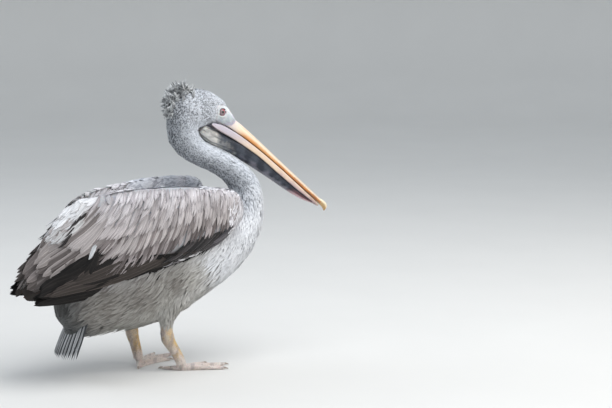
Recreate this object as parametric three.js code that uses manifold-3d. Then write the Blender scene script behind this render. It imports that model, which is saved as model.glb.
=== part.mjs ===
// A life-size pelican at rest on both feet, its neck drawn back and its bill held down the foreneck.
// Millimetres, +X towards the bill, +Y to the bird's left, +Z up, with the floor at z = 0.
import * as THREE from "three";
import { mergeVertices } from "three/addons/utils/BufferGeometryUtils.js";
import Module from "manifold-3d";

const wasm = await Module();
wasm.setup();

// ---------------------------------------------------------------- driving dimensions
const GAP = 0.4; // between neighbouring pieces
const ROOM = 2000; // wider than the bird, for whatever cuts it along a plane
const FINENESS = 0.12; // how far a face may be from the shape that is cut
const CRUMB = 100; // cubic millimetres, below which a cut-off piece is left out
const UP = new THREE.Vector3(0, 0, 1);
const LEFT = new THREE.Vector3(0, 1, 0);

// A row of a body sweep is x, y, z of the section's centre, half width, half height and squareness.
const TRUNK = [
  [-262, 0, 185, 40, 50, 2.0],
  [-240, 0, 204, 58, 98, 2.1],
  [-200, 0, 238.5, 78, 135.5, 2.2],
  [-150, 0, 261, 92, 153, 2.2],
  [-90, 0, 272, 100, 162, 2.2],
  [-30, 0, 276, 103, 161, 2.2],
  [30, 0, 281, 103, 153, 2.2],
  [90, 0, 295, 98, 135, 2.2],
  [150, 0, 306, 89, 116, 2.1],
  [200, 0, 318, 76, 97, 2.0],
  [236, 0, 331, 60, 76, 2.0],
  [260, 0, 342, 40, 52, 2.0],
];
const TRUNK_DOMES = [14, 18];

const NECK = [
  [196, 0, 312, 70, 66, 2.0],
  [228, 0, 352, 58, 58, 2.0],
  [243, 0, 398, 44, 46, 2.0],
  [235, 0, 440, 37, 39, 2.0],
  [200, 0, 479, 33, 34, 2.0],
  [150, 0, 509, 32, 33, 2.0],
  [98, 0, 533, 32, 33, 2.0],
  [67, 0, 568, 35, 40, 2.0],
  [65, 0, 618, 35, 40, 2.0],
];
// where the neck is parted, the last under the head: the share of its rows and the radius of the cut
const NECK_CUTS = [
  [0.48, 62],
  [0.62, 52],
  [0.86, 52],
];

const HEAD = [
  [38, 0, 632, 27, 37, 2.0],
  [66, 0, 635, 34, 49, 2.0],
  [96, 0, 633, 37, 50, 2.0],
  [124, 0, 633, 35, 44, 2.0],
  [151, 0, 627, 30, 35.5, 2.0],
  [174, 0, 608.5, 25, 29, 2.0],
  [196, 0, 592, 20, 21, 2.0],
];
const HEAD_DOMES = [14, 8];

const CREST = [
  [84, 0, 656, 22, 28, 2.0],
  [56, 0, 680, 18, 24, 2.0],
  [28, 0, 684, 11, 17, 2.0],
];

const EYE = { centre: [163, 17, 625], radius: 10.5 };

// The bill's own axis runs from the base of the culmen to the tip. A bill row is a distance along it, then
// drops below it.
const BILL_BASE = new THREE.Vector3(216, 0, 605);
const BILL_PITCH = THREE.MathUtils.degToRad(41.2);
// along, drop of the culmen, drop of the tomium, half width
const UPPER = [
  [-44, 11, 46, 21],
  [-14, 6.5, 36, 20],
  [20, 3.6, 31, 18.5],
  [60, 2.6, 25.5, 17],
  [108, 2.6, 21.4, 16],
  [170, 2.8, 19.4, 16],
  [226, 2.8, 18.8, 17],
  [276, 2.6, 17.4, 18],
  [312, 2.3, 15.4, 16.5],
  [328, 1.8, 13.8, 13],
];
const NAIL = [
  [330, 1.2, 13, 11],
  [343, -1, 12.6, 9.5],
  [355, 0.4, 14.6, 7],
  [360, 5, 18, 4],
];
// along, drop of the upper edge, drop of the lower edge, distance from the midline, thickness
const RAMUS = [
  [-56, 52, 68, 27, 7],
  [-26, 41, 60.5, 25, 6],
  [16, 33, 50.5, 22, 5.5],
  [60, 27.4, 43, 20, 5],
  [110, 23.4, 37, 18.5, 5],
  [180, 20.9, 34.4, 18, 5],
  [240, 20.2, 31.6, 17.5, 5],
  [286, 18.8, 27.4, 14.5, 5],
  [320, 17.2, 23, 8.5, 5],
  [340, 16, 20, 0, 5],
];
// along, drop of the top, drop of the bottom, half width
const POUCH = [
  [-64, 70, 96, 22],
  [-36, 60, 99, 26],
  [-12, 54, 94, 26],
  [30, 42, 82, 24],
  [75, 34, 71, 21],
  [136, 27, 61, 18],
  [186, 25, 53, 17],
  [242, 24, 45.5, 16],
  [284, 22, 36.5, 12.5],
  [312, 19.5, 27.5, 8],
];

// Wings: x, y, z of the centre, half thickness, half height, squareness, inward lean in degrees, outward bow
const WING = [
  [156, 96, 395, 19, 46, 2.2, 0, 2],
  [124, 97, 384, 22, 66, 2.3, 6, 4],
  [60, 98, 374, 24, 84, 2.3, 10, 7],
  [0, 96, 368, 25, 94, 2.3, 13, 9],
  [-69, 88, 361, 24, 102, 2.3, 17, 10],
  [-130, 77, 354, 22, 110, 2.3, 21, 10],
  [-190, 64, 344, 19, 113, 2.3, 25, 8],
  [-240, 52, 327, 16, 108, 2.3, 28, 6],
  [-288, 42, 295, 12, 84, 2.2, 30, 4],
  [-328, 31, 256, 8, 54, 2.2, 32, 2],
  [-360, 22, 222, 4, 22, 2.0, 34, 1],
];
// how much higher the left wing's edge is held, from its first row back
const LEFT_WING_RAISE = [12, 12, 8, 4];
const WING_DOMES = [24, 12];

const WING_OUT = 80; // from the midline to the middle of a wing
// where a closed wing is parted: a place on the cut, the cut's normal and the cut's radius
const TERTIAL_CUT = { at: [-225, 312], normal: [-0.64, 0.77], radius: 280 };
const FLIGHT_CUT = { at: [-40, 309], normal: [-0.126, 0.992], radius: 340 };

const TAIL = [
  [-192, 0, 196, 34, 16, 2.4],
  [-221, 0, 154, 44, 13, 2.6],
  [-247, 0, 108, 56, 9, 2.8],
  [-267, 0, 66, 64, 5, 3.0],
];
const TAIL_DOMES = [6, 26];
const TAIL_SAG = 12;

// Legs, given for the right side, whose y is negative. The left leg stands a little further back.
const STANCE = {
  right: { x: 0, y: -58, rake: 1, toeOut: 2 },
  left: { x: -46, y: 58, rake: 0.45, toeOut: 18 },
};
const THIGH = [
  [30, -6, 232, 34, 38, 2.0],
  [6, -4, 186, 31, 38, 2.0],
  [-12, -1, 150, 23, 27, 2.0],
  [-15, 0, 122, 14, 18.5, 2.0],
];
const SHANK = [
  [-14, 0, 128, 10.5, 14, 2.0],
  [-15, 0, 108, 11, 15, 2.0],
  [-13, 0, 88, 12.5, 17, 2.2],
  [-6, 0, 72, 10, 15, 2.2],
  [7, 0, 52, 9, 13, 2.2],
  [18, 0, 32, 9.5, 12.5, 2.2],
  [25, 0, 17, 11, 12, 2.2],
];
const TOE_ROOT = 24; // how far ahead of the stance the toes meet
// turn from straight ahead towards the midline in degrees, length to the claw, base radius, claw length
const TOES = [
  { name: "outer", turn: -24, length: 104, radius: 6.4, claw: 11 },
  { name: "middle", turn: -2, length: 116, radius: 7, claw: 12 },
  { name: "inner", turn: 22, length: 84, radius: 6.4, claw: 12 },
  { name: "hind", turn: 134, length: 50, radius: 5.4, claw: 10 },
];
const TOE_SHARES = [0, 0.3, 0.62, 1]; // of the toe's length, where it is measured
const TOE_TAPER = 0.38; // how much thinner a toe is at its claw
const TOE_FLAT = 0.82; // how high the toe's middle is above the floor, in its own radii
const TOE_RISE = 3.4; // how much higher it is at the joint
const TOE_ARCH = 1.4; // how much higher it is at its knuckle
// share of the claw's length, height of its middle and radius
const CLAW = [
  [-0.12, 4.2, 2.9],
  [0.35, 4.2, 2.6],
  [0.75, 3, 1.7],
  [1, 1.4, 0.8],
];
const WEB_THICKNESS = 2.6;
const WEB_REACH = 0.96; // share of each toe's length that the web joins
const WEB_PULL = [0.16, 0.16, 0.34]; // how far the web's edge curves back to the joint, toe by toe
const WEB_HEEL = [4, 3];

const look = (color, roughness) => new THREE.MeshStandardMaterial({ color, roughness, metalness: 0 });
const LOOKS = {
  plumage: look(0xd9dade, 0.85),
  wing: look(0x9c9392, 0.8),
  flight: look(0x3a3535, 0.7),
  bill: look(0xe9b878, 0.45),
  pouch: look(0x4a505e, 0.55),
  leg: look(0xcdb09a, 0.65),
  claw: look(0x8d8078, 0.4),
  eye: look(0x6b4a40, 0.1),
};

// ---------------------------------------------------------------- shapes
/** A closed solid over rings, each a list of points in the same order, closed by a fan at each end. */
function skinOver(rings) {
  const sides = rings[0].length;
  const places = [];
  const faces = [];
  const put = (p) => places.push(p.x, p.y, p.z);
  const middle = (ring) => ring.reduce((sum, p) => sum.add(p), new THREE.Vector3()).divideScalar(sides);
  rings.forEach((ring) => ring.forEach(put));
  put(middle(rings[0]));
  put(middle(rings.at(-1)));
  const first = rings.length * sides;
  const last = first + 1;
  for (let k = 0; k < sides; k++) {
    const next = (k + 1) % sides;
    for (let i = 0; i + 1 < rings.length; i++) {
      const [a, b] = [i * sides + k, i * sides + next];
      faces.push(a, b, b + sides, a, b + sides, a + sides);
    }
    const end = (rings.length - 1) * sides;
    faces.push(first, next, k);
    faces.push(last, end + k, end + next);
  }
  const geometry = new THREE.BufferGeometry();
  geometry.setAttribute("position", new THREE.Float32BufferAttribute(places, 3));
  geometry.setIndex(faces);
  return geometry;
}

/** The three.js curve through some columns of a table, so that places and sizes share one parameter. */
function track(rows, columns) {
  const points = rows.map((row) => new THREE.Vector3(...columns.map((c) => row[c] ?? 0)));
  return new THREE.CatmullRomCurve3(points, false, "centripetal");
}

const power = (x, exponent) => Math.sign(x) * Math.abs(x) ** exponent;

/** A solid swept along the rows' centres through superellipse sections, with a dome at each end.
 *  Upright sections stay in planes of constant x. The lean turns a section, the bow pushes its middle
 *  sideways and the sag drops its sides. A grown sweep is larger all round, to cut a gap in its neighbours. */
function sweep(rows, { rings, sides, domes, domeRings = 2, upright = false, sag = 0, grow = 0 }) {
  const path = track(rows, [0, 1, 2]);
  const girth = track(rows, [3, 4, 5]);
  const pose = track(rows, [6, 7]);
  const ring = (t, shrink, push) => {
    const centre = path.getPoint(t);
    const along = path.getTangent(t);
    const axis = upright ? new THREE.Vector3(Math.sign(along.x), 0, 0) : along;
    const lean = THREE.MathUtils.degToRad(pose.getPoint(t).x);
    const bow = pose.getPoint(t).y;
    const across = LEFT.clone().addScaledVector(axis, -LEFT.dot(axis)).normalize();
    const rise = upright ? UP : new THREE.Vector3().crossVectors(axis, across);
    const { x: wide, y: tall, z: square } = girth.getPoint(t);
    centre.addScaledVector(axis, push);
    return Array.from({ length: sides }, (_, k) => {
      const angle = (2 * Math.PI * k) / sides;
      const s = power(Math.cos(angle), 2 / square);
      const v = power(Math.sin(angle), 2 / square);
      const out = (wide + grow) * shrink * s + bow * (1 - v * v) * shrink;
      const up = (tall + grow) * shrink * v - sag * s * s;
      const turned = [out * Math.cos(lean) - up * Math.sin(lean), out * Math.sin(lean) + up * Math.cos(lean)];
      return centre.clone().addScaledVector(across, turned[0]).addScaledVector(rise, turned[1]);
    });
  };
  const dome = (t, length, sign) =>
    Array.from({ length: domeRings }, (_, i) => {
      const angle = ((i + 1) / (domeRings + 0.35)) * (Math.PI / 2);
      return ring(t, Math.cos(angle), sign * (length + grow) * Math.sin(angle));
    });
  const body = Array.from({ length: rings + 1 }, (_, i) => ring(i / rings, 1, 0));
  return skinOver([...dome(0, domes[0], -1).reverse(), ...body, ...dome(1, domes[1], 1)]);
}

/** A point of the bill: distance along it, drop below the culmen's line and distance to the left. */
function onBill(along, drop, left) {
  const [c, s] = [Math.cos(BILL_PITCH), Math.sin(BILL_PITCH)];
  return new THREE.Vector3(along * c - drop * s, left, -along * s - drop * c).add(BILL_BASE);
}

/** Evenly spaced rings of a bill piece: section(values) gives each ring as pairs of drop and left. */
function billSweep(rows, count, section) {
  const ends = track(rows, [0, 1, 2]);
  const sizes = track(rows, [3, 4]);
  return skinOver(
    Array.from({ length: count + 1 }, (_, i) => {
      const { x: along, y: top, z: bottom } = ends.getPoint(i / count);
      const { x: wide } = sizes.getPoint(i / count);
      return section({ top, bottom, wide }).map(([drop, left]) => onBill(along, drop, left));
    }),
  );
}

// ---------------------------------------------------------------- solids
/** A geometry as a manifold-3d solid, turned outside out if its rings ran the other way. */
function solidOf(geometry) {
  const bare = geometry.clone();
  bare.deleteAttribute("normal");
  bare.deleteAttribute("uv");
  const merged = mergeVertices(bare, 1e-3);
  const build = (triVerts) =>
    new wasm.Manifold(
      new wasm.Mesh({ numProp: 3, vertProperties: merged.attributes.position.array, triVerts }),
    );
  const triVerts = new Uint32Array(merged.index.array);
  const made = build(triVerts);
  return made.volume() > 0 ? made : build(triVerts.map((_, i) => triVerts[i - (i % 3) + [0, 2, 1][i % 3]]));
}

function meshOf(name, solid, material) {
  const { numProp, numVert, vertProperties, triVerts } = solid.getMesh();
  const places = new Float32Array(numVert * 3);
  for (let i = 0; i < numVert; i++) places.set(vertProperties.subarray(i * numProp, i * numProp + 3), i * 3);
  const geometry = new THREE.BufferGeometry();
  geometry.setAttribute("position", new THREE.BufferAttribute(places, 3));
  geometry.setIndex(new THREE.BufferAttribute(triVerts, 1));
  const mesh = new THREE.Mesh(geometry, material);
  mesh.name = name;
  return mesh;
}

/** A thin disc that parts a limb: its centre, its axis and its radius. */
function parting(centre, axis, radius) {
  const disc = new THREE.CylinderGeometry(radius, radius, GAP, 24);
  const turn = new THREE.Quaternion().setFromUnitVectors(LEFT, axis.clone().normalize());
  return solidOf(disc.applyQuaternion(turn).translate(centre.x, centre.y, centre.z));
}

const largest = (solid) => solid.decompose().sort((a, b) => b.volume() - a.volume())[0];
const mirrored = (rows) => rows.map((row) => row.map((v, c) => (c === 1 || c === 6 || c === 7 ? -v : v)));

const pelican = new THREE.Group();
pelican.name = "pelican";
const add = (name, solid, material) => pelican.add(meshOf(name, largest(solid).simplify(FINENESS), material));

// ---------------------------------------------------------------- body, neck and head
const trunkSweep = (grow) =>
  solidOf(sweep(TRUNK, { rings: 12, sides: 18, domes: TRUNK_DOMES, upright: true, grow }));
const neckSweep = (grow) => solidOf(sweep(NECK, { rings: 16, sides: 12, domes: [20, 14], grow }));
const headSweep = (grow) => solidOf(sweep(HEAD, { rings: 7, sides: 12, domes: HEAD_DOMES, grow }));
const crestSweep = (grow) => solidOf(sweep(CREST, { rings: 4, sides: 10, domes: [4, 12], grow }));

const neckPath = track(NECK, [0, 1, 2]);
const neckDisc = (t, radius) => parting(neckPath.getPoint(t), neckPath.getTangent(t), radius);
const eyeball = (side, grow) =>
  solidOf(
    new THREE.SphereGeometry(EYE.radius + grow, 10, 6)
      .rotateX(Math.PI / 2)
      .translate(EYE.centre[0], side * EYE.centre[1], EYE.centre[2]),
  );

function buildBody() {
  const discs = NECK_CUTS.map(([t, radius]) => neckDisc(t, radius));
  let whole = trunkSweep(0).add(neckSweep(0)).add(headSweep(0));
  for (const disc of discs) whole = whole.subtract(disc);
  for (const side of [1, -1]) whole = whole.subtract(eyeball(side, GAP));
  const pieces = whole
    .decompose()
    .filter((piece) => piece.volume() > CRUMB)
    .map((piece) => {
      const { min, max } = piece.boundingBox();
      return { piece, height: (min[2] + max[2]) / 2 };
    })
    .sort((a, b) => a.height - b.height);
  const names = ["trunk", "neck_lower", "neck_middle", "head"];
  if (pieces.length !== names.length) throw new Error(`the body parted into ${pieces.length} pieces`);
  const solids = Object.fromEntries(pieces.map(({ piece }, i) => [names[i], piece]));
  for (const name of names) add(name, solids[name], LOOKS.plumage);
  add("nape_crest", crestSweep(0).subtract(headSweep(GAP)).subtract(neckSweep(GAP)), LOOKS.plumage);
  for (const [name, side] of [["eye_left", 1], ["eye_right", -1]]) add(name, eyeball(side, 0), LOOKS.eye);
}

// ---------------------------------------------------------------- bill and pouch
/** The upper mandible's section: a rounded culmen between grooves, sloping flanges, a hollowed palate. */
function mandibleSection({ top, bottom, wide }) {
  const deep = bottom - top;
  const half = [
    [top, 0],
    [top + 0.06 * deep, 0.22 * wide],
    [top + 0.3 * deep, 0.4 * wide],
    [top + 0.42 * deep, 0.62 * wide],
    [top + 0.72 * deep, 0.93 * wide],
    [bottom, wide],
    [bottom + 0.4, 0.8 * wide],
    [top + 0.8 * deep, 0.4 * wide],
  ];
  return [...half, [top + 0.76 * deep, 0], ...half.slice(1).reverse().map(([drop, left]) => [drop, -left])];
}

function ovalSection({ top, bottom, wide }) {
  const sides = 12;
  return Array.from({ length: sides }, (_, k) => {
    const angle = (2 * Math.PI * k) / sides;
    return [(top + bottom) / 2 - ((bottom - top) / 2) * Math.cos(angle), wide * Math.sin(angle)];
  });
}

/** The two rami as one horseshoe, from the right base round the tip to the left base. */
function lowerMandible(grow) {
  const ends = track(RAMUS, [0, 1, 2]);
  const sizes = track(RAMUS, [3, 4]);
  const count = 12;
  const rings = [];
  for (let i = -count; i <= count; i++) {
    const t = 1 - Math.abs(i) / count;
    const side = Math.sign(i);
    const { x: along, y: top, z: bottom } = ends.getPoint(t);
    const { x: off, y: thick } = sizes.getPoint(t);
    const slope = i === 0 ? 0 : -side * (ends.getTangent(t).x > 0 ? 1 : -1);
    const middle = onBill(along, (top + bottom) / 2, side * off);
    const ahead = i === 0 ? LEFT.clone() : onBill(1, 0, 0).sub(onBill(0, 0, 0)).multiplyScalar(slope);
    const width = sizes.getTangent(t).x / Math.max(Math.abs(ends.getTangent(t).x), 1e-6);
    if (i !== 0) ahead.addScaledVector(LEFT, slope * side * width).normalize();
    const tall = onBill(0, 1, 0).sub(onBill(0, 0, 0));
    const across = new THREE.Vector3().crossVectors(tall, ahead).normalize();
    const [a, b] = [(bottom - top) / 2 + grow, thick / 2 + grow];
    rings.push(
      [[-1, -0.5], [-1, 0.5], [-0.6, 1], [0.6, 1], [1, 0.5], [1, -0.5], [0.6, -1], [-0.6, -1]].map(([u, w]) =>
        middle.clone().addScaledVector(tall, a * u).addScaledVector(across, b * w),
      ),
    );
  }
  return solidOf(skinOver(rings));
}

function buildBill() {
  const upper = (grow) =>
    solidOf(billSweep(UPPER.map(([s, t, b, w]) => [s, t - grow, b + grow, w + grow]), 12, mandibleSection));
  const face = headSweep(GAP);
  const neck = neckSweep(GAP);
  add("upper_mandible", upper(0).subtract(face), LOOKS.bill);
  add("bill_nail", solidOf(billSweep(NAIL, 5, ovalSection)).subtract(upper(GAP)), LOOKS.bill);
  const lower = lowerMandible(0).subtract(upper(GAP)).subtract(face).subtract(neck);
  add("lower_mandible", lower, LOOKS.bill);
  const pouch = solidOf(billSweep(POUCH, 12, ovalSection));
  const hollowed = pouch.subtract(lowerMandible(GAP)).subtract(face).subtract(neck).subtract(upper(GAP));
  add("gular_pouch", hollowed, LOOKS.pouch);
}

// ---------------------------------------------------------------- wings and tail
const raised = ([x, y, z, thick, tall, ...pose], raise = 0) =>
  [x, y, z + raise / 2, thick, tall + raise / 2, ...pose];
const wingRows = (side) =>
  side > 0 ? WING.map((row, i) => raised(row, LEFT_WING_RAISE[i])) : mirrored(WING);
const wingSweep = (side, grow) =>
  solidOf(sweep(wingRows(side), { rings: 12, sides: 14, domes: WING_DOMES, upright: true, grow }));

/** A wing parted into the coverts over the arm, the tertials behind them and the flight feathers beneath. */
function buildWing(name, side) {
  const otherSide = new THREE.BoxGeometry(ROOM, ROOM, ROOM).translate(0, (side * (GAP - ROOM)) / 2, 0);
  const clear = wingSweep(side, 0).subtract(trunkSweep(GAP)).subtract(neckSweep(GAP));
  const whole = clear.subtract(solidOf(otherSide));
  const cut = ({ at, normal, radius }) =>
    parting(
      new THREE.Vector3(at[0], side * WING_OUT, at[1]),
      new THREE.Vector3(normal[0], 0, normal[1]),
      radius,
    );
  const pair = (solid) => solid.decompose().sort((a, b) => b.volume() - a.volume()).slice(0, 2);
  const rearOf = (solid) => solid.boundingBox().min[0] + solid.boundingBox().max[0];
  const halves = pair(largest(whole).subtract(cut(TERTIAL_CUT)));
  const [tertials, front] = halves.sort((a, b) => rearOf(a) - rearOf(b));
  const topOf = (solid) => solid.boundingBox().max[2];
  const [coverts, flight] = pair(front.subtract(cut(FLIGHT_CUT))).sort((a, b) => topOf(b) - topOf(a));
  add(`${name}_coverts`, coverts, LOOKS.wing);
  add(`${name}_tertials`, tertials, LOOKS.wing);
  add(`${name}_flight`, flight, LOOKS.flight);
}

function buildTail() {
  const fan = solidOf(sweep(TAIL, { rings: 6, sides: 16, domes: TAIL_DOMES, sag: TAIL_SAG }));
  const free = fan.subtract(trunkSweep(GAP)).subtract(wingSweep(1, GAP)).subtract(wingSweep(-1, GAP));
  add("tail", free, LOOKS.wing);
}

// ---------------------------------------------------------------- legs and feet
function legRows(rows, stance, rake) {
  const outward = Math.sign(stance.y);
  return rows.map(([x, dy, z, ...rest]) => [x * rake + stance.x, stance.y - outward * dy, z, ...rest]);
}

/** A place along a toe's line on the floor, for a leg whose outward side is -1 or 1. */
function alongToe(toe, root, outward, reach) {
  const turn = THREE.MathUtils.degToRad(toe.turn);
  return [root[0] + Math.cos(turn) * reach, root[1] - outward * Math.sin(turn) * reach];
}

/** One toe as rows of a sweep, from the joint to the claw's root, arched a little at its knuckle. */
function toeRows(toe, root, outward) {
  return TOE_SHARES.map((share) => {
    const r = toe.radius * (1 - TOE_TAPER * share);
    const z = r * TOE_FLAT + TOE_RISE * (1 - share) ** 2 + TOE_ARCH * Math.sin(Math.PI * share);
    return [...alongToe(toe, root, outward, toe.length * share), z, r, r, 2];
  });
}

const clawRows = (toe, root, outward) =>
  CLAW.map(([share, z, r]) => [...alongToe(toe, root, outward, toe.length + toe.claw * share), z, r, r, 2]);

/** The web between neighbouring toes, as a plate whose free edges curve inwards. */
function webGeometry(toes, root, outward) {
  const tip = (toe) => alongToe(toe, root, outward, toe.length * WEB_REACH);
  const outline = new THREE.Shape();
  outline.moveTo(...tip(toes[0]));
  for (let i = 1; i < toes.length; i++) {
    const [from, to] = [tip(toes[i - 1]), tip(toes[i])];
    const pull = WEB_PULL[i - 1];
    const bend = [0, 1].map((c) => ((from[c] + to[c]) / 2) * (1 - pull) + root[c] * pull);
    outline.quadraticCurveTo(...bend, ...to);
  }
  outline.lineTo(root[0] - WEB_HEEL[0], root[1] + outward * WEB_HEEL[1]);
  outline.closePath();
  return new THREE.ExtrudeGeometry(outline, { depth: WEB_THICKNESS, bevelEnabled: false, curveSegments: 3 });
}

// how finely each part of the leg is swept, and how far its rounded ends reach
const THIGH_SWEEP = { rings: 5, sides: 12, domes: [20, 5] };
const SHANK_SWEEP = { rings: 8, sides: 10, domes: [4, 6] };
const TOE_SWEEP = { rings: 3, sides: 6, domes: [5, 2.5], domeRings: 1 };
const CLAW_SWEEP = { rings: 3, sides: 5, domes: [1, 0.6], domeRings: 1 };

function buildLeg(name, stance) {
  const outward = Math.sign(stance.y);
  const thigh = solidOf(sweep(legRows(THIGH, stance, 1), THIGH_SWEEP));
  const shank = (grow) => solidOf(sweep(legRows(SHANK, stance, stance.rake), { ...SHANK_SWEEP, grow }));
  const root = [TOE_ROOT * stance.rake + stance.x, stance.y];
  const toes = TOES.map((toe) => ({ ...toe, turn: toe.turn - stance.toeOut }));
  const claws = toes.map((toe) => (grow) =>
    solidOf(sweep(clawRows(toe, root, outward), { ...CLAW_SWEEP, grow })),
  );
  let foot = solidOf(webGeometry(toes, root, outward));
  for (const toe of toes) foot = foot.add(solidOf(sweep(toeRows(toe, root, outward), TOE_SWEEP)));
  const below = solidOf(new THREE.BoxGeometry(ROOM, ROOM, ROOM).translate(0, 0, -ROOM / 2));
  foot = foot.subtract(below).subtract(shank(GAP));
  for (const claw of claws) foot = foot.subtract(claw(GAP));
  const wing = wingSweep(outward, GAP);
  add(`thigh_${name}`, thigh.subtract(trunkSweep(GAP)).subtract(wing).subtract(shank(GAP)), LOOKS.plumage);
  add(`shank_${name}`, shank(0).subtract(trunkSweep(GAP)).subtract(below), LOOKS.leg);
  add(`foot_${name}`, foot, LOOKS.leg);
  claws.forEach((claw, i) => add(`claw_${name}_${TOES[i].name}`, claw(0).subtract(below), LOOKS.claw));
}

buildBody();
buildBill();
buildWing("wing_left", 1);
buildWing("wing_right", -1);
buildTail();
buildLeg("left", STANCE.left);
buildLeg("right", STANCE.right);

// The origin is the middle of the footprint of the whole bird, on the floor.
const bounds = new THREE.Box3().setFromObject(pelican);
pelican.position.set(-(bounds.min.x + bounds.max.x) / 2, -(bounds.min.y + bounds.max.y) / 2, -bounds.min.z);

export default pelican;
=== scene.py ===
"""The looks of a life-size pelican: one skin under modelled feathers, with bill, pouch, eyes and feet.

The bird is described in its own millimetres, +X towards the bill, +Y to its left, +Z up, and is built
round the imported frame: the skin is grown from the frame's flesh nodes, and everything else stands on
that skin or on the places of the frame's nodes. A feather is a thin closed vane.
"""

import logging
import math
from dataclasses import dataclass, field, replace
from enum import Enum
from typing import Iterable, Sequence

import bmesh
import bpy
import numpy as np
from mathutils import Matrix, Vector
from mathutils.bvhtree import BVHTree


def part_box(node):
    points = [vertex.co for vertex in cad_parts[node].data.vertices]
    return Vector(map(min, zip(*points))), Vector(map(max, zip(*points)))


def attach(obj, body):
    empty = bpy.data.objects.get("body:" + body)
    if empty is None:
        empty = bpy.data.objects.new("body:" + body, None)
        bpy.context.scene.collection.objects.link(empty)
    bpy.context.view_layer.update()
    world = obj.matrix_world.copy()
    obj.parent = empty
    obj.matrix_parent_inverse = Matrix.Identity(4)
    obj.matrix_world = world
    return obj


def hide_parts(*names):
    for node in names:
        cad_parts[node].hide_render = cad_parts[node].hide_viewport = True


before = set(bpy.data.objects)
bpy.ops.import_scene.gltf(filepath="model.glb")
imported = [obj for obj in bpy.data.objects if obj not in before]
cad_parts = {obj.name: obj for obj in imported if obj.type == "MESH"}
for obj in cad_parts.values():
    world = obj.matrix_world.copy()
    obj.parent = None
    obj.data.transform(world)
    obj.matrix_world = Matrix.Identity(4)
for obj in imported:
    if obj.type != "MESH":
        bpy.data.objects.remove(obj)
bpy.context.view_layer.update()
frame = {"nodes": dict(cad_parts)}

Array = np.ndarray
Random = np.random.Generator
Rows = tuple[tuple[float, ...], ...]

LOG = logging.getLogger("pelican")
BODY = "root"
BAKE_MAP = "OFBake"
MM = 1000.0  # millimetres in a metre
SIDES = {"right": -1, "left": 1}
EYE_MIDDLE = np.array([163.0, 0.0, 625.0])
EYE_OUT = 17.0  # from the midline to the eyeball's middle
EYE_BALL = 10.2  # its radius
UP = np.array([0.0, 0.0, 1.0])
SHANKS = ["shank_left", "shank_right"]
FLESH = ["trunk", "neck_lower", "neck_middle", "head", "thigh_left", "thigh_right", *SHANKS]
WINGS = [f"wing_{side}_{part}" for side in SIDES for part in ("coverts", "tertials", "flight")]


def linear(code: str) -> Array:
    """A colour written as six hex digits, as linear red, green and blue."""
    value = np.array([int(code[i : i + 2], 16) / 255 for i in (0, 2, 4)])
    return np.where(value <= 0.04045, value / 12.92, ((value + 0.055) / 1.055) ** 2.4)


def rgba(code: str) -> tuple[float, ...]:
    """A colour written as six hex digits, as a linear colour with alpha."""
    return (*(float(part) for part in linear(code)), 1.0)


def unit(vectors: Array) -> Array:
    """The same vectors, one long each."""
    return vectors / np.maximum(np.linalg.norm(vectors, axis=-1, keepdims=True), 1e-9)


def blend(a: str, b: str, share: Array) -> Array:
    """Two colours, as hex digits, blended by a share for each point."""
    return over(linear(a), b, np.clip(share, 0, 1))


def over(tint: Array, colour: str | Array, share: Array) -> Array:
    """A tint with a colour laid over it.

    Args:
        tint: the linear colour of each point, or one for all.
        colour: what is laid over it, as hex digits or as the linear colour of each point.
        share: how much of it shows at each point.

    Returns:
        The linear colour of each point.
    """
    laid = linear(colour) if isinstance(colour, str) else colour
    return tint * (1 - share[:, None]) + laid * share[:, None]


def dot(a: Array, b: Array) -> Array:
    """Dot products along the last axis, which is kept."""
    return np.sum(a * b, axis=-1, keepdims=True)


def step(low: float, high: float, value: Array) -> Array:
    """A soft step from 0 at low to 1 at high, which may be the other way round."""
    t = np.clip((value - low) / (high - low), 0, 1)
    return t * t * (3 - 2 * t)


def curve(rows: Sequence[Sequence[float]], count: int) -> Array:
    """Points of the Catmull-Rom curve through some rows of numbers.

    Args:
        rows: one row for each knot of the curve.
        count: how many points to give back, evenly spaced in the knots.

    Returns:
        An array of count rows with the columns of the knots.
    """
    p = np.asarray(rows, float)
    ends = np.vstack([2 * p[0] - p[1], p, 2 * p[-1] - p[-2]])
    at = np.linspace(0, len(p) - 1, count)
    i = np.minimum(at.astype(int), len(p) - 2)
    t = (at - i)[:, None]
    a, b, c, d = ends[i], ends[i + 1], ends[i + 2], ends[i + 3]
    return 0.5 * (2 * b + (c - a) * t + (2 * a - 5 * b + 4 * c - d) * t**2 + (3 * b - a - 3 * c + d) * t**3)


def waves(points: Array, length: float, seed: int, octaves: int = 3) -> Array:
    """A smooth, seeded field of ups and downs between about -1 and 1.

    Args:
        points: places, one row each, in the units of length.
        length: the distance from one rise to the next.
        seed: which field of the kind.
        octaves: how many finer fields are laid on the first.

    Returns:
        One number for each point.
    """
    rng = np.random.default_rng(seed)
    total = np.zeros(len(points))
    for octave in range(octaves):
        pitch = 2 * math.pi / length * 1.9**octave
        for _ in range(5):
            way = unit(rng.normal(size=3)) * pitch
            total += np.sin(points @ way + rng.uniform(0, 6.3)) * 0.4 / 1.7**octave
    return total


def height_on(line: Sequence[tuple[float, float]], x: Array) -> Array:
    """The height of a line of x and z at some x."""
    knots = np.array(sorted(line))
    return np.interp(x, knots[:, 0], knots[:, 1])


@dataclass(frozen=True)
class Layout:
    """Lays the bird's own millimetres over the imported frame's metres."""

    shift: Array

    @classmethod
    def from_eyes(cls) -> "Layout":
        """Finds the shift from the frame's two eyes."""
        middle = np.mean([np.array(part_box(f"eye_{side}")).mean(axis=0) for side in SIDES], axis=0)
        return cls(middle * MM - EYE_MIDDLE)

    def to_frame(self, points: Array) -> Array:
        """The bird's millimetres as metres of the frame."""
        return (points + self.shift) / MM

    def to_bird(self, points: Array) -> Array:
        """Metres of the frame as the bird's millimetres."""
        return points * MM - self.shift


LAYOUT = Layout.from_eyes()


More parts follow.
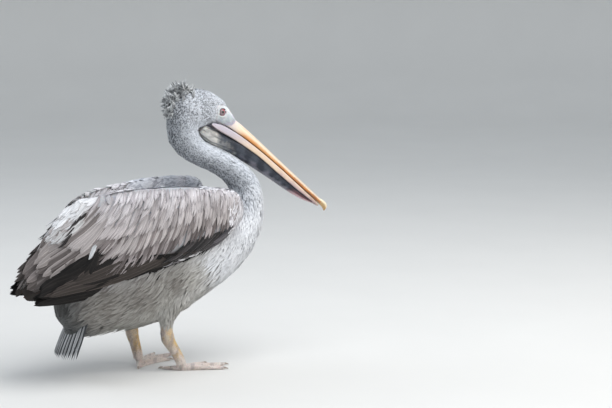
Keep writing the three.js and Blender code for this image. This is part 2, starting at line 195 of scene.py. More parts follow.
@dataclass
class Net:
    """Points, faces and what is known at each point, gathered before they become one mesh."""

    points: list[Array] = field(default_factory=list)
    faces: list[Array] = field(default_factory=list)
    tints: list[Array] = field(default_factory=list)
    quills: list[Array] = field(default_factory=list)
    uvs: list[Array] = field(default_factory=list)
    rims: list[Array] = field(default_factory=list)
    finishes: list[Array] = field(default_factory=list)
    size: int = 0

    def add(
        self,
        points: Array,
        faces: Iterable[Array],
        tint: Array,
        quill: Array | None = None,
        uv: Array | None = None,
        rim: Array | None = None,
        finish: int = 0,
    ) -> None:
        """Adds a closed piece of surface.

        Args:
            points: places in the bird's millimetres.
            faces: arrays of corner numbers, each array with faces of one kind.
            tint: a linear colour for all points or for each.
            quill: across, along and seed at each point.
            uv: the place of each point in the bake map.
            rim: whether each point is on a sharp rim.
            finish: the number of the material of these faces.
        """
        count = len(points)
        self.points.append(points)
        for corners in faces:
            self.faces.append(corners + self.size)
            self.finishes.append(np.full(len(corners), finish))
        self.tints.append(np.broadcast_to(tint, (count, 3)))
        self.quills.append(np.zeros((count, 3)) if quill is None else quill)
        self.uvs.append(np.zeros((count, 2)) if uv is None else uv)
        self.rims.append(np.zeros(count, bool) if rim is None else rim)
        self.size += count

    def build(
        self, name: str, materials: Sequence[bpy.types.Material], turned: bool = False
    ) -> bpy.types.Object:
        """Makes one object of all that was added.

        Args:
            name: the piece's name.
            materials: its materials, in the order of the finishes' numbers.
            turned: whether its faces still have to be turned outwards.

        Returns:
            The new object, linked to the scene.
        """
        points = LAYOUT.to_frame(np.vstack(self.points))
        corners = np.concatenate([faces.ravel() for faces in self.faces])
        sizes = np.concatenate([np.full(len(faces), faces.shape[1]) for faces in self.faces])
        mesh = bpy.data.meshes.new(name)
        mesh.vertices.add(len(points))
        mesh.vertices.foreach_set("co", points.ravel())
        mesh.loops.add(len(corners))
        mesh.loops.foreach_set("vertex_index", corners.astype(np.int32))
        mesh.polygons.add(len(sizes))
        mesh.polygons.foreach_set("loop_start", np.concatenate([[0], np.cumsum(sizes)[:-1]]).astype(np.int32))
        mesh.polygons.foreach_set("material_index", np.concatenate(self.finishes).astype(np.int32))
        mesh.polygons.foreach_set("use_smooth", np.ones(len(sizes), bool))
        mesh.update(calc_edges=True)
        if turned:
            turning = bmesh.new()
            turning.from_mesh(mesh)
            bmesh.ops.recalc_face_normals(turning, faces=turning.faces)
            turning.to_mesh(mesh)
            turning.free()
            corners = np.zeros(len(mesh.loops), np.int32)
            mesh.loops.foreach_get("vertex_index", corners)
        tint = mesh.attributes.new("tint", "FLOAT_COLOR", "POINT")
        tint.data.foreach_set("color", np.hstack([np.vstack(self.tints), np.ones((len(points), 1))]).ravel())
        quill = mesh.attributes.new("quill", "FLOAT_VECTOR", "POINT")
        quill.data.foreach_set("vector", np.vstack(self.quills).ravel())
        layer = mesh.uv_layers.new(name=BAKE_MAP)
        layer.data.foreach_set("uv", np.vstack(self.uvs)[corners].ravel())
        rim = np.concatenate(self.rims)
        if rim.any():
            ends = np.zeros(len(mesh.edges) * 2, np.int32)
            mesh.edges.foreach_get("vertices", ends)
            sharp = mesh.attributes.new("sharp_edge", "BOOLEAN", "EDGE")
            sharp.data.foreach_set("value", rim[ends.reshape(-1, 2)].all(axis=1))
        for material in materials:
            mesh.materials.append(material)
        piece = bpy.data.objects.new(name, mesh)
        bpy.context.scene.collection.objects.link(piece)
        return piece


def present(piece: bpy.types.Object, slot: str, *nodes: str) -> None:
    """Hands a finished piece to the frame and reports it.

    Args:
        piece: the finished object.
        slot: the record's material slot of the piece; not used.
        nodes: the frame's nodes that it stands for.
    """
    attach(piece, BODY)
    if nodes:
        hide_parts(*nodes)
    triangles = sum(len(face.vertices) - 2 for face in piece.data.polygons)
    LOG.info("%s: %d triangles", piece.name, triangles)


def hoop(rings: Array) -> tuple[Array, list[Array]]:
    """A closed skin over rings of points whose last ring joins the first."""
    count, around, _ = rings.shape
    i, j = np.meshgrid(np.arange(count), np.arange(around), indexing="ij")
    k, m = (j + 1) % around, (i + 1) % count
    return rings.reshape(-1, 3), [
        np.stack([i * around + j, i * around + k, m * around + k, m * around + j], axis=-1).reshape(-1, 4)
    ]


def tube(rings: Array) -> tuple[Array, list[Array]]:
    """A closed skin over rings of points, capped at both ends.

    Args:
        rings: an array of rings by points by three.

    Returns:
        The points, the two cap middles last, and the faces.
    """
    count, around, _ = rings.shape
    points = np.vstack([rings.reshape(-1, 3), rings[0].mean(axis=0), rings[-1].mean(axis=0)])
    i, j = np.meshgrid(np.arange(count - 1), np.arange(around), indexing="ij")
    k = (j + 1) % around
    sides = np.stack([i * around + j, i * around + k, (i + 1) * around + k, (i + 1) * around + j], axis=-1)
    j = np.arange(around)
    k = (j + 1) % around
    first = np.stack([np.full(around, count * around), k, j], axis=-1)
    base = (count - 1) * around
    last = np.stack([np.full(around, count * around + 1), base + j, base + k], axis=-1)
    return points, [sides.reshape(-1, 4), first, last]


def spread(value: Array, other: Array, ends: Sequence[float]) -> Array:
    """A value at each point of a tube.

    Args:
        value: the value of each ring, or of each place round it.
        other: any value of the other kind.
        ends: its values at the middles of the two caps.

    Returns:
        One number for each point, the cap middles last.
    """
    return np.append(value + 0 * other, ends)


def squarish(turns: Array, power: float) -> tuple[Array, Array]:
    """The cosine and sine of some turns, whose circle grows corners as the power falls below 1."""
    wide, tall = np.cos(turns), np.sin(turns)
    return np.sign(wide) * np.abs(wide) ** power, np.sign(tall) * np.abs(tall) ** power


Value = "Socket | float"


class Socket:
    """A node's output that takes part in expressions: each operator adds the Math node for it."""

    def __init__(self, shader: "Shader", link: bpy.types.NodeSocket) -> None:
        """Wraps a link of a shader."""
        self.shader = shader
        self.link = link

    def math(self, operation: str, *others: Value, first: float | None = None) -> "Socket":
        """A Math node with this socket in it.

        Args:
            operation: the Math node's operation.
            others: what follows this socket.
            first: the number before this socket, if there is one.

        Returns:
            The node's value.
        """
        values = ([] if first is None else [first]) + [self, *others]
        made = self.shader.node("ShaderNodeMath", {"operation": operation}, dict(enumerate(values)))
        return Socket(self.shader, made.outputs[0])

    def __add__(self, other: Value) -> "Socket":
        """The sum of two values."""
        return self.math("ADD", other)

    def __radd__(self, other: float) -> "Socket":
        """The sum of two values."""
        return self.math("ADD", first=other)

    def __sub__(self, other: Value) -> "Socket":
        """The difference of two values."""
        return self.math("SUBTRACT", other)

    def __rsub__(self, other: float) -> "Socket":
        """A number less this value."""
        return self.math("SUBTRACT", first=other)

    def __mul__(self, other: Value) -> "Socket":
        """The product of two values."""
        return self.math("MULTIPLY", other)

    def __rmul__(self, other: float) -> "Socket":
        """The product of two values."""
        return self.math("MULTIPLY", first=other)

    def __abs__(self) -> "Socket":
        """This value without its sign."""
        return self.math("ABSOLUTE")

    def sine(self) -> "Socket":
        """The sine of this value."""
        return self.math("SINE")

    def ramp(self, low: float, high: float) -> "Socket":
        """A soft step of this value from 0 at low to 1 at high.

        Args:
            low: where the step starts.
            high: where it ends; below low, the step goes down.

        Returns:
            The step's value.
        """
        limits = {"From Min": min(low, high), "From Max": max(low, high), "To Min": 0.0, "To Max": 1.0}
        settings = {"interpolation_type": "SMOOTHSTEP"}
        made = self.shader.node("ShaderNodeMapRange", settings, {"Value": self, **limits})
        rising = Socket(self.shader, made.outputs[0])
        return rising if high > low else 1 - rising


class Shader:
    """A material with one Principled surface, and the ways to make what feeds it."""

    def __init__(self, name: str, **constants: float | tuple) -> None:
        """Starts a material.

        Args:
            name: the material's name.
            constants: the surface's sockets that are the same everywhere, with _ for a space.
        """
        self.material = bpy.data.materials.new(name)
        self.material.use_nodes = True
        self.tree = self.material.node_tree
        self.tree.nodes.clear()
        self.surface = self.tree.nodes.new("ShaderNodeBsdfPrincipled")
        output = self.tree.nodes.new("ShaderNodeOutputMaterial")
        self.tree.links.new(self.surface.outputs[0], output.inputs[0])
        for key, value in constants.items():
            self.surface.inputs[key.replace("_", " ")].default_value = value

    def node(
        self, kind: str, settings: dict[str, object], sockets: dict[str | int, object]
    ) -> bpy.types.Node:
        """Makes any node.

        Args:
            kind: the node's type.
            settings: what is set on the node before its sockets.
            sockets: the values or links of its inputs, by name or number.

        Returns:
            The node.
        """
        made = self.tree.nodes.new(kind)
        for key, value in settings.items():
            setattr(made, key, value)
        for key, value in sockets.items():
            if isinstance(value, Socket):
                self.tree.links.new(value.link, made.inputs[key])
            else:
                made.inputs[key].default_value = value
        return made

    def socket(self, made: bpy.types.Node, output: str | int = 0) -> Socket:
        """One output of a node, ready for expressions."""
        return Socket(self, made.outputs[output])

    def tint(self) -> Socket:
        """The colour known at each point."""
        return self.socket(self.node("ShaderNodeAttribute", {"attribute_name": "tint"}, {}), "Color")

    def quill(self) -> tuple[Socket, Socket, Socket]:
        """The place across, the place along and the seed known at each point."""
        vector = self.socket(self.node("ShaderNodeAttribute", {"attribute_name": "quill"}, {}), "Vector")
        parts = self.node("ShaderNodeSeparateXYZ", {}, {0: vector})
        return tuple(self.socket(parts, axis) for axis in "XYZ")

    def place(self) -> Socket:
        """The place on the object, in metres."""
        return self.socket(self.node("ShaderNodeTexCoord", {}, {}), "Object")

    def noise(self, vector: Socket, scale: float, detail: float = 3.0) -> Socket:
        """Soft noise with about scale rises in a metre."""
        sockets = {"Vector": vector, "Scale": scale, "Detail": detail}
        return self.socket(self.node("ShaderNodeTexNoise", {}, sockets))

    def cells(self, vector: Socket, scale: float, feature: str = "F1") -> Socket:
        """The distance to the middle or to the edge of irregular cells."""
        sockets = {"Vector": vector, "Scale": scale}
        return self.socket(self.node("ShaderNodeTexVoronoi", {"feature": feature}, sockets), "Distance")

    def stretched(self, vector: Socket, scale: Socket | tuple[float, float, float]) -> Socket:
        """A vector or a colour multiplied along each of its axes."""
        made = self.node("ShaderNodeVectorMath", {"operation": "MULTIPLY"}, {0: vector, 1: scale})
        return self.socket(made)

    def joined(self, x: Value, y: Value, z: Value) -> Socket:
        """A vector of three values."""
        return self.socket(self.node("ShaderNodeCombineXYZ", {}, {0: x, 1: y, 2: z}))

    def mix(self, factor: Value, a: object, b: object) -> Socket:
        """Two colours mixed.

        Args:
            factor: how much of the second there is.
            a: the first colour.
            b: the second colour.

        Returns:
            The colour.
        """
        made = self.node("ShaderNodeMix", {"data_type": "RGBA"}, {0: factor, 6: a, 7: b})
        return self.socket(made, 2)

    def shade(self, colour: Socket, value: Socket) -> Socket:
        """A colour made lighter or darker by a value, 1 leaving it as it is."""
        return self.stretched(colour, self.joined(value, value, value))

    def bump(
        self, height: Socket, distance: float, strength: float = 1.0, under: Socket | None = None
    ) -> Socket:
        """A normal from a height.

        Args:
            height: the height, 0 to 1.
            distance: how many millimetres 1 stands for.
            strength: how much of it shows.
            under: the normal of a coarser height.

        Returns:
            The normal.
        """
        sockets = {"Height": height, "Distance": distance / MM, "Strength": strength}
        if under is not None:
            sockets["Normal"] = under
        return self.socket(self.node("ShaderNodeBump", {}, sockets))

    def finish(self, **links: Socket) -> bpy.types.Material:
        """Links what varies to the surface's sockets, with _ for a space, and gives the material back."""
        for key, value in links.items():
            self.tree.links.new(value.link, self.surface.inputs[key.replace("_", " ")])
        return self.material


@dataclass(frozen=True)
class FeatherFinish:
    """How one kind of feather looks: its shaft, its edges, its root and its barbs."""

    name: str
    shaft: float = 0.0  # how much lighter the shaft and the vane beside it are
    shaft_width: float = 0.2
    edge: float = 0.0  # how much lighter the edges are
    root: float = 0.8  # how light the root is beside the tip: the feather's own grey down, and painted shade where it lies under other feathers
    barbs: float = 40.0  # barbs along the vane
    relief: float = 0.25  # millimetres from a barb's back to the furrow beside it
    roughness: float = 0.75
    sheen: float = 0.25

    def material(self) -> bpy.types.Material:
        """The material of this finish."""
        shader = Shader(self.name, Sheen_Weight=self.sheen, Sheen_Roughness=0.5, Specular_IOR_Level=0.25)
        across, along, seed = shader.quill()
        aside = abs(across)
        waver = shader.noise(shader.joined(along * 5.0, seed * 40.0, aside), 1.6)
        shaft = (aside + waver * 0.12 - 0.06).ramp(self.shaft_width + 0.12, self.shaft_width * 0.35)
        shaft = shaft * along.ramp(1.0, 0.86)
        edge = (aside + waver * 0.16 - 0.08).ramp(0.72, 0.95)
        mottle = shader.noise(shader.place(), 420.0)
        # darker towards the root: the feather's grey down, and painted shade where it lies under other
        # feathers
        light = self.root + (1.0 - self.root) * along.ramp(0.0, 0.55)
        light = light * (1.0 + shaft * self.shaft + edge * self.edge)
        light = light * (0.88 + mottle * 0.24)
        turns = along * self.barbs - aside * (self.barbs * 0.35) + waver * 2.0
        barb = (turns * math.tau).sine() * 0.5 + 0.5
        quill_line = aside.ramp(0.1, 0.02)
        fine = shader.bump(barb * 0.6 + waver * 0.4, self.relief, 0.5)
        normal = shader.bump(quill_line, self.relief * 1.6, 0.5, fine)
        rough = self.roughness + mottle * 0.2 - quill_line * 0.15
        return shader.finish(Base_Color=shader.shade(shader.tint(), light), Roughness=rough, Normal=normal)


@dataclass(frozen=True)
class SkinFinish:
    """How one region of the skin looks: its scales or creases and its mottling."""

    name: str
    cell: float = 260.0  # scales or grains in a metre
    stretch: tuple[float, float, float] = (1.0, 1.0, 1.0)
    relief: float = 0.4  # millimetres
    furrow_shade: float = 0.25  # how much painted shade darkens the furrows
    mottle: float = 0.25
    roughness: float = 0.55
    streaks: float = 0.0  # how strongly creases run along the piece, in relief and with painted shade in them
    coat: float = 0.0

    def material(self) -> bpy.types.Material:
        """The material of this finish."""
        shader = Shader(
            self.name, Subsurface_Weight=0.08, Subsurface_Scale=0.004, Specular_IOR_Level=0.4,
            Coat_Weight=self.coat, Coat_Roughness=0.3,
        )
        place = shader.place()
        _, along, _ = shader.quill()
        bent = shader.stretched(place, self.stretch)
        furrow = shader.cells(bent, self.cell, "DISTANCE_TO_EDGE").ramp(0.0, 0.16)
        grain = shader.noise(place, self.cell * 3.0)
        patch = shader.noise(place, 55.0, 4.0)
        lines = ((along * 60.0 + patch * 5.0) * math.tau).sine() * 0.5 + 0.5
        # painted shade in the furrows between the scales or grains
        light = 1.0 - (1.0 - furrow) * self.furrow_shade
        light = light * (1.0 - self.mottle * 0.5 + patch * self.mottle)
        # painted shade in the creases that run along the piece
        light = light * (1.0 - lines * (self.streaks * 0.35))
        height = furrow * 0.75 + grain * 0.25 - lines * self.streaks
        normal = shader.bump(height, self.relief)
        rough = self.roughness + grain * 0.15 - furrow * 0.08
        return shader.finish(Base_Color=shader.shade(shader.tint(), light), Roughness=rough, Normal=normal)


class Tone(Enum):
    """The colours of the coat by region: light, dark and the share of dark feathers."""

    FACE = ("e6eaf1", "b2b9c4", 0.3)
    CROWN = ("dde1e8", "74787f", 0.42)
    SPECKLED = ("b9bdc3", "4f5359", 0.62)
    FORENECK = ("dfe4ec", "aeb5bf", 0.25)
    NECK_LOW = ("d3d7de", "91959c", 0.42)
    BREAST = ("f3f5f9", "e6e9ee", 0.2)
    # BELLY, FLANK and VENT: the underside's own grey-brown, darkened further as painted shade over the
    # underside and under the wing
    BELLY = ("9a9992", "7f7d76", 0.42)
    FLANK = ("9d9a95", "79746f", 0.42)
    VENT = ("5b5d5d", "424444", 0.4)
    MANTLE = ("d3d1d3", "9f9b9d", 0.4)
    WING_TOP = ("d6d3d8", "a9a5aa", 0.4)
    INNER = ("cccccd", "b9b9bb", 0.3)
    RIDGE = ("dfe2e9", "b4b8c2", 0.3)
    WHITE = ("e6e6e8", "b9b6b6", 0.2)
    THIGH = ("bcbab5", "9f9c96", 0.4)
    SIDE = ("d0cfcc", "b7b5b1", 0.35)
    SHOULDER = ("eceaee", "aaa5aa", 0.3)
    TERTIAL = ("8f8886", "625b59", 0.35)
    # TAIL_ROOT: the dark feathers at the tail's root, darkened further as painted shade under the wings
    TAIL_ROOT = ("4a4c4b", "262827", 0.4)

    def parts(self) -> tuple[Array, Array, float]:
        """The light colour, the dark colour and the share of dark."""
        light, dark, share = self.value
        return linear(light), linear(dark), share


@dataclass(frozen=True)
class Guide:
    """What the coat is like at one place of the body; between guides it changes smoothly."""

    place: tuple[float, float, float]
    lie: tuple[float, float, float]
    depth: float  # from the skin to the tips
    length: float
    width: float
    spacing: float
    tone: Tone


WING_DARK_LINE = [(-380, 250), (-185, 270), (-9, 312), (142, 348), (160, 352)]
NECK_LINE = [
    [65, 640], [65, 600], [68, 566], [98, 533], [150, 508], [200, 479], [235, 440], [243, 398], [240, 362],
]

BODY_GUIDES = [
    Guide((192, 0, 640), (-0.8, 0, 0.6), 1.2, 6, 2.2, 2.5, Tone.FACE),
    Guide((165, 0, 662), (-0.95, 0, 0.3), 1.6, 7, 2.4, 2.7, Tone.FACE),
    Guide((120, 0, 672), (-1, 0, 0.1), 2.6, 8, 2.9, 2.6, Tone.CROWN),
    Guide((70, 0, 676), (-1, 0, 0.2), 4, 14, 3.2, 3.2, Tone.CROWN),
    Guide((44, 0, 650), (-0.8, 0, -0.6), 4.5, 14, 3.4, 3.0, Tone.SPECKLED),
    Guide((148, 26, 600), (-1, 0, -0.3), 1.6, 6, 2.6, 2.5, Tone.FACE),
    Guide((120, 34, 625), (-1, 0, -0.2), 2.4, 7.5, 2.8, 2.6, Tone.CROWN),
    Guide((90, 34, 625), (-0.9, 0, -0.5), 3, 9, 2.9, 2.7, Tone.CROWN),
    Guide((110, 22, 590), (-0.6, 0, -0.8), 2.8, 10, 2.8, 3.0, Tone.FORENECK),
    Guide((270, 0, 345), (-0.15, 0, -1), 7, 24, 5, 4.5, Tone.BREAST),
    Guide((225, 62, 345), (-0.6, 0.1, -0.8), 7, 24, 5, 4.5, Tone.BREAST),
    Guide((260, 0, 270), (-0.5, 0, -0.85), 7, 26, 5.2, 4.7, Tone.BREAST),
    Guide((200, 0, 220), (-0.85, 0, -0.5), 8, 28, 5.6, 5.0, Tone.BREAST),
    Guide((160, 75, 260), (-0.8, 0, -0.55), 8, 28, 5.6, 5.0, Tone.BREAST),
    Guide((140, 0, 175), (-0.95, 0, -0.3), 8, 30, 5.8, 5.2, Tone.BREAST),
    Guide((40, 0, 135), (-1, 0, -0.12), 8, 32, 5.8, 5.2, Tone.BELLY),
    Guide((-100, 0, 112), (-1, 0, 0.02), 8, 34, 6, 5.4, Tone.BELLY),
    Guide((110, 95, 265), (-0.85, 0, -0.45), 8, 30, 5.6, 5.0, Tone.BREAST),
    Guide((82, 94, 250), (-0.85, 0, -0.45), 8, 32, 5.7, 5.1, Tone.SIDE),
    Guide((90, 50, 175), (-0.9, 0, -0.3), 8, 32, 5.7, 5.1, Tone.SIDE),
    Guide((55, 93, 238), (-0.85, 0, -0.45), 8, 33, 5.8, 5.2, Tone.THIGH),
    Guide((15, 93, 228), (-0.85, 0, -0.45), 8, 34, 5.8, 5.2, Tone.FLANK),
    Guide((-60, 95, 200), (-0.88, 0, -0.4), 8, 36, 6, 5.4, Tone.FLANK),
    Guide((-160, 85, 190), (-0.9, 0, -0.35), 8, 38, 6.2, 5.6, Tone.FLANK),
    Guide((-235, 0, 120), (-0.85, 0, -0.5), 8, 40, 6.6, 5.8, Tone.VENT),
    Guide((-240, 0, 210), (-0.6, 0, -0.8), 7, 40, 9, 7.6, Tone.TAIL_ROOT),
    Guide((210, 0, 400), (-0.9, 0, 0.3), 6, 20, 4.6, 4.2, Tone.NECK_LOW),
    Guide((150, 0, 425), (-1, 0, 0.05), 7, 28, 6.4, 5.4, Tone.MANTLE),
    Guide((40, 0, 440), (-1, 0, 0), 8, 32, 7, 5.8, Tone.MANTLE),
    Guide((-70, 0, 440), (-1, 0, -0.1), 8, 38, 8, 6.4, Tone.MANTLE),
    Guide((-160, 0, 415), (-0.9, 0, -0.4), 8, 42, 10, 7, Tone.WHITE),
    Guide((-230, 0, 350), (-0.75, 0, -0.7), 7, 44, 10, 7, Tone.WHITE),
    Guide((-250, 0, 270), (-0.6, 0, -0.8), 7, 42, 9, 6.6, Tone.MANTLE),
    Guide((38, 66, 210), (-0.3, 0, -1), 7, 24, 4.8, 4.4, Tone.SIDE),
    Guide((-15, 66, 215), (-0.3, 0, -1), 7, 24, 4.8, 4.4, Tone.THIGH),
    Guide((10, 60, 165), (-0.2, 0, -1), 5, 18, 4, 3.8, Tone.THIGH),
    Guide((4, 58, 130), (-0.15, 0, -1), 3, 13, 3.6, 3.6, Tone.THIGH),
    Guide((-40, 58, 165), (-0.2, 0, -1), 5, 18, 4, 3.8, Tone.THIGH),
    Guide((178, 90, 400), (-0.55, 0, -0.83), 6, 22, 5, 4.2, Tone.SHOULDER),
    Guide((150, 105, 400), (-0.55, 0, -0.83), 6, 22, 5, 4.2, Tone.SHOULDER),
    Guide((130, 100, 440), (-0.5, 0, -0.85), 3, 18, 4.8, 4.2, Tone.WING_TOP),
    Guide((60, 100, 455), (-0.5, 0, -0.85), 3.5, 22, 5.2, 4.6, Tone.WING_TOP),
    Guide((-60, 95, 460), (-0.55, 0, -0.8), 4, 26, 6, 5.2, Tone.WING_TOP),
    Guide((-150, 82, 448), (-0.7, 0, -0.7), 6, 34, 8.5, 7.2, Tone.WING_TOP),
    Guide((-240, 60, 410), (-0.75, 0, -0.65), 6, 42, 10, 7, Tone.WHITE),
    Guide((-310, 42, 330), (-0.75, 0, -0.65), 4, 44, 10, 7, Tone.TERTIAL),
    Guide((110, 66, 400), (-0.95, 0, -0.3), 4, 20, 6, 5.0, Tone.INNER),
    Guide((0, 56, 410), (-0.95, 0, -0.3), 4, 24, 7, 5.6, Tone.INNER),
    Guide((140, 82, 444), (-1, 0, 0), 3, 15, 4.6, 4.0, Tone.RIDGE),
    Guide((70, 80, 452), (-1, 0, 0), 3, 17, 5, 4.2, Tone.RIDGE),
    Guide((-10, 78, 455), (-1, 0, 0), 3, 20, 5.6, 4.8, Tone.RIDGE),
    Guide((-310, 18, 270), (-0.8, 0, -0.6), 2, 40, 9, 7, Tone.TERTIAL),
    Guide((-345, 12, 235), (-0.8, 0, -0.6), 2, 30, 9, 7, Tone.TERTIAL),
    Guide((-240, 36, 290), (-0.8, 0, -0.6), 4, 44, 9, 7, Tone.VENT),
    Guide((60, 105, 350), (-0.4, 0, -0.9), 6, 40, 10, 9.0, Tone.WING_TOP),
    Guide((-60, 105, 340), (-0.45, 0, -0.9), 6, 44, 10, 9.0, Tone.WING_TOP),
    Guide((-180, 85, 310), (-0.7, 0, -0.7), 6, 46, 10, 9.0, Tone.WING_TOP),
]


def neck_guides() -> list[Guide]:
    """Guides along the neck, light on the throat's side and speckled on the nape's."""
    places = curve(NECK_LINE, 17)
    ways = unit(np.gradient(places, axis=0))
    guides = []
    for k, (place, way) in enumerate(zip(places, ways)):
        share = k / (len(places) - 1)
        throat = np.array([-way[1], way[0]])
        reach = 24 + 18 * share**3
        coat = (3.2 + 3.5 * share, 9 + 12 * share**1.5, 2.8 + 1.8 * share**2, 2.6 + 1.6 * share**2)
        lie = (float(way[0]), 0.0, float(way[1]))
        front = place + throat * reach
        back = place - throat * reach
        tone = Tone.FORENECK if share < 0.8 else Tone.BREAST
        nape = Tone.SPECKLED if share < 0.75 else Tone.NECK_LOW
        if share > 0.1:
            guides.append(Guide((float(front[0]), 0.0, float(front[1])), lie, *coat, tone))
        guides.append(Guide((float(back[0]), 0.0, float(back[1])), lie, *coat, nape))
    return guides


@dataclass
class Nature:
    """What the coat is like at each of many places."""

    lie: Array
    depth: Array
    length: Array
    width: Array
    spacing: Array
    light: Array
    dark: Array
    share: Array

    def part(self, chosen: Array) -> "Nature":
        """The same for some of the places."""
        return Nature(**{name: value[chosen] for name, value in vars(self).items()})


class CoatMap:
    """Says what the coat is like anywhere on the bird, by its nearest guides."""

    softness = 9.0  # millimetres within which the nearest guide rules alone

    def __init__(self, guides: Sequence[Guide]) -> None:
        """Lays the guides out on both sides of the bird."""
        self.guides = list(guides)
        self.places = np.array([guide.place for guide in guides], float)
        self.lies = np.array([guide.lie for guide in guides], float)
        sizes = [(guide.depth, guide.length, guide.width, guide.spacing) for guide in guides]
        self.sizes = np.array(sizes, float)
        tones = [guide.tone.parts() for guide in guides]
        self.lights = np.array([tone[0] for tone in tones])
        self.darks = np.array([tone[1] for tone in tones])
        self.shares = np.array([tone[2] for tone in tones])

    def at(self, points: Array) -> Nature:
        """What the coat is like at some places.

        Args:
            points: places in the bird's millimetres.

        Returns:
            Its nature at each place.
        """
        folded = points * [1, 0, 1] + np.abs(points) * [0, 1, 0]
        side = np.where(points[:, 1:2] < 0, -1.0, 1.0)
        apart = ((folded[:, None, :] - self.places[None]) ** 2).sum(axis=2)
        pull = 1 / (apart + self.softness**2) ** 2.2
        pull /= pull.sum(axis=1, keepdims=True)
        lie = unit(pull @ self.lies) * np.hstack([np.ones_like(side), side, np.ones_like(side)])
        sizes = pull @ self.sizes
        return Nature(
            lie, sizes[:, 0], sizes[:, 1], sizes[:, 2], sizes[:, 3],
            pull @ self.lights, pull @ self.darks, pull @ self.shares,
        )


@dataclass(frozen=True)
class BareFace:
    """The patch of bare skin from behind the eye to the bill, the same on both sides."""

    back: float = 147.0
    front: float = 206.0
    top_back: float = 643.0
    top_front: float = 628.0
    low_back: float = 603.0
    low_front: float = 578.0

    def share(self, points: Array) -> Array:
        """How bare the skin is at some places, 0 to 1."""
        x, z = points[:, 0], points[:, 2]
        t = np.clip((x - self.back) / (self.front - self.back), 0, 1)
        top = self.top_back + (self.top_front - self.top_back) * t**2
        low = self.low_back + (self.low_front - self.low_back) * t
        ragged = waves(points, 14, 5, 2) * 1.6
        inside = step(-4, 3, x - self.back + ragged) * step(3, -3, z - top + ragged)
        inside = inside * step(-3, 3, z - low + ragged)
        return inside * step(4, 9, np.abs(points[:, 1]))


class Surface:
    """A mesh's surface to stand things on, in the bird's millimetres."""

    def __init__(self, mesh: bpy.types.Mesh) -> None:
        """Reads the mesh's faces, its soft normals and the bake map's places."""
        count = len(mesh.vertices)
        points = np.zeros(count * 3)
        mesh.vertices.foreach_get("co", points)
        self.points = LAYOUT.to_bird(points.reshape(-1, 3))
        mesh.calc_loop_triangles()
        corners = np.zeros(len(mesh.loop_triangles) * 3, np.int32)
        mesh.loop_triangles.foreach_get("vertices", corners)
        self.triangles = corners.reshape(-1, 3)
        self.tree = BVHTree.FromPolygons(self.points.tolist(), self.triangles.tolist(), all_triangles=True)
        a, b, c = (self.points[self.triangles[:, k]] for k in range(3))
        flat = np.cross(b - a, c - a)
        self.areas = np.linalg.norm(flat, axis=1) / 2
        soft = np.zeros((count, 3))
        for _ in range(3):
            soft[:] = 0
            for k in range(3):
                np.add.at(soft, self.triangles[:, k], flat)
            flat = unit(soft[self.triangles].sum(axis=1)) * self.areas[:, None]
        self.normals = unit(flat)
        self.vertex_normals = unit(soft)
        self.finishes = np.zeros(len(self.triangles), np.int32)
        mesh.loop_triangles.foreach_get("material_index", self.finishes)
        self.places = np.zeros((len(self.triangles), 2))
        layer = mesh.uv_layers.get(BAKE_MAP)
        if layer is not None:
            loops = np.zeros(len(mesh.loop_triangles) * 3, np.int32)
            mesh.loop_triangles.foreach_get("loops", loops)
            uv = np.zeros(len(mesh.loops) * 2)
            layer.data.foreach_get("uv", uv)
            self.places = uv.reshape(-1, 2)[loops].reshape(-1, 3, 2).mean(axis=1)

    def nearest(self, points: Array) -> tuple[Array, Array, Array]:
        """The nearest places on the surface.

        Args:
            points: places near it.

        Returns:
            The places on it, their soft normals and the numbers of their triangles.
        """
        found = [self.tree.find_nearest(Vector(point)) for point in points]
        faces = np.array([hit[2] for hit in found])
        return np.array([hit[0] for hit in found]), self.normals[faces], faces

    def distance(self, points: Array) -> Array:
        """How far each of some places is from the surface."""
        return np.array([self.tree.find_nearest(Vector(point))[3] for point in points])

    def thickness(self, points: Array, normals: Array) -> Array:
        """How thick the solid is inwards from each of some places on its surface."""
        hits = [self.tree.ray_cast(Vector(p - n * 0.3), Vector(-n)) for p, n in zip(points, normals)]
        return np.array([hit[3] if hit[3] is not None else 99.0 for hit in hits])

    def from_side(self, x: float, z: float, side: int) -> tuple[float, int] | None:
        """Where a line from far out on one side meets the surface: how far out, and the triangle."""
        hit = self.tree.ray_cast(Vector((x, side * 400.0, z)), Vector((0, -side, 0)))
        return None if hit[2] is None else (float(hit[0][1]), hit[2])


class Together:
    """Several surfaces asked as one."""

    def __init__(self, surfaces: Sequence[Surface]) -> None:
        """Keeps the surfaces."""
        self.surfaces = surfaces

    def distance(self, points: Array) -> Array:
        """How far each of some places is from the nearest of the surfaces."""
        return np.min([surface.distance(points) for surface in self.surfaces], axis=0)


BILL_ROOT = np.array([216.0, 0.0, 605.0])
BILL_PITCH = math.radians(41.2)


def on_bill(along: Array, drop: Array, left: Array) -> Array:
    """Places told along the bill, down from its culmen line and to the left.

    Args:
        along: millimetres from the bill's root towards its tip.
        drop: millimetres down from the culmen line.
        left: millimetres to the bird's left.

    Returns:
        The places in the bird's millimetres.
    """
    ahead, under = math.cos(BILL_PITCH), math.sin(BILL_PITCH)
    along, drop, left = np.broadcast_arrays(along, drop, left)
    offset = np.stack([along * ahead - drop * under, left, -along * under - drop * ahead], axis=-1)
    return BILL_ROOT + offset


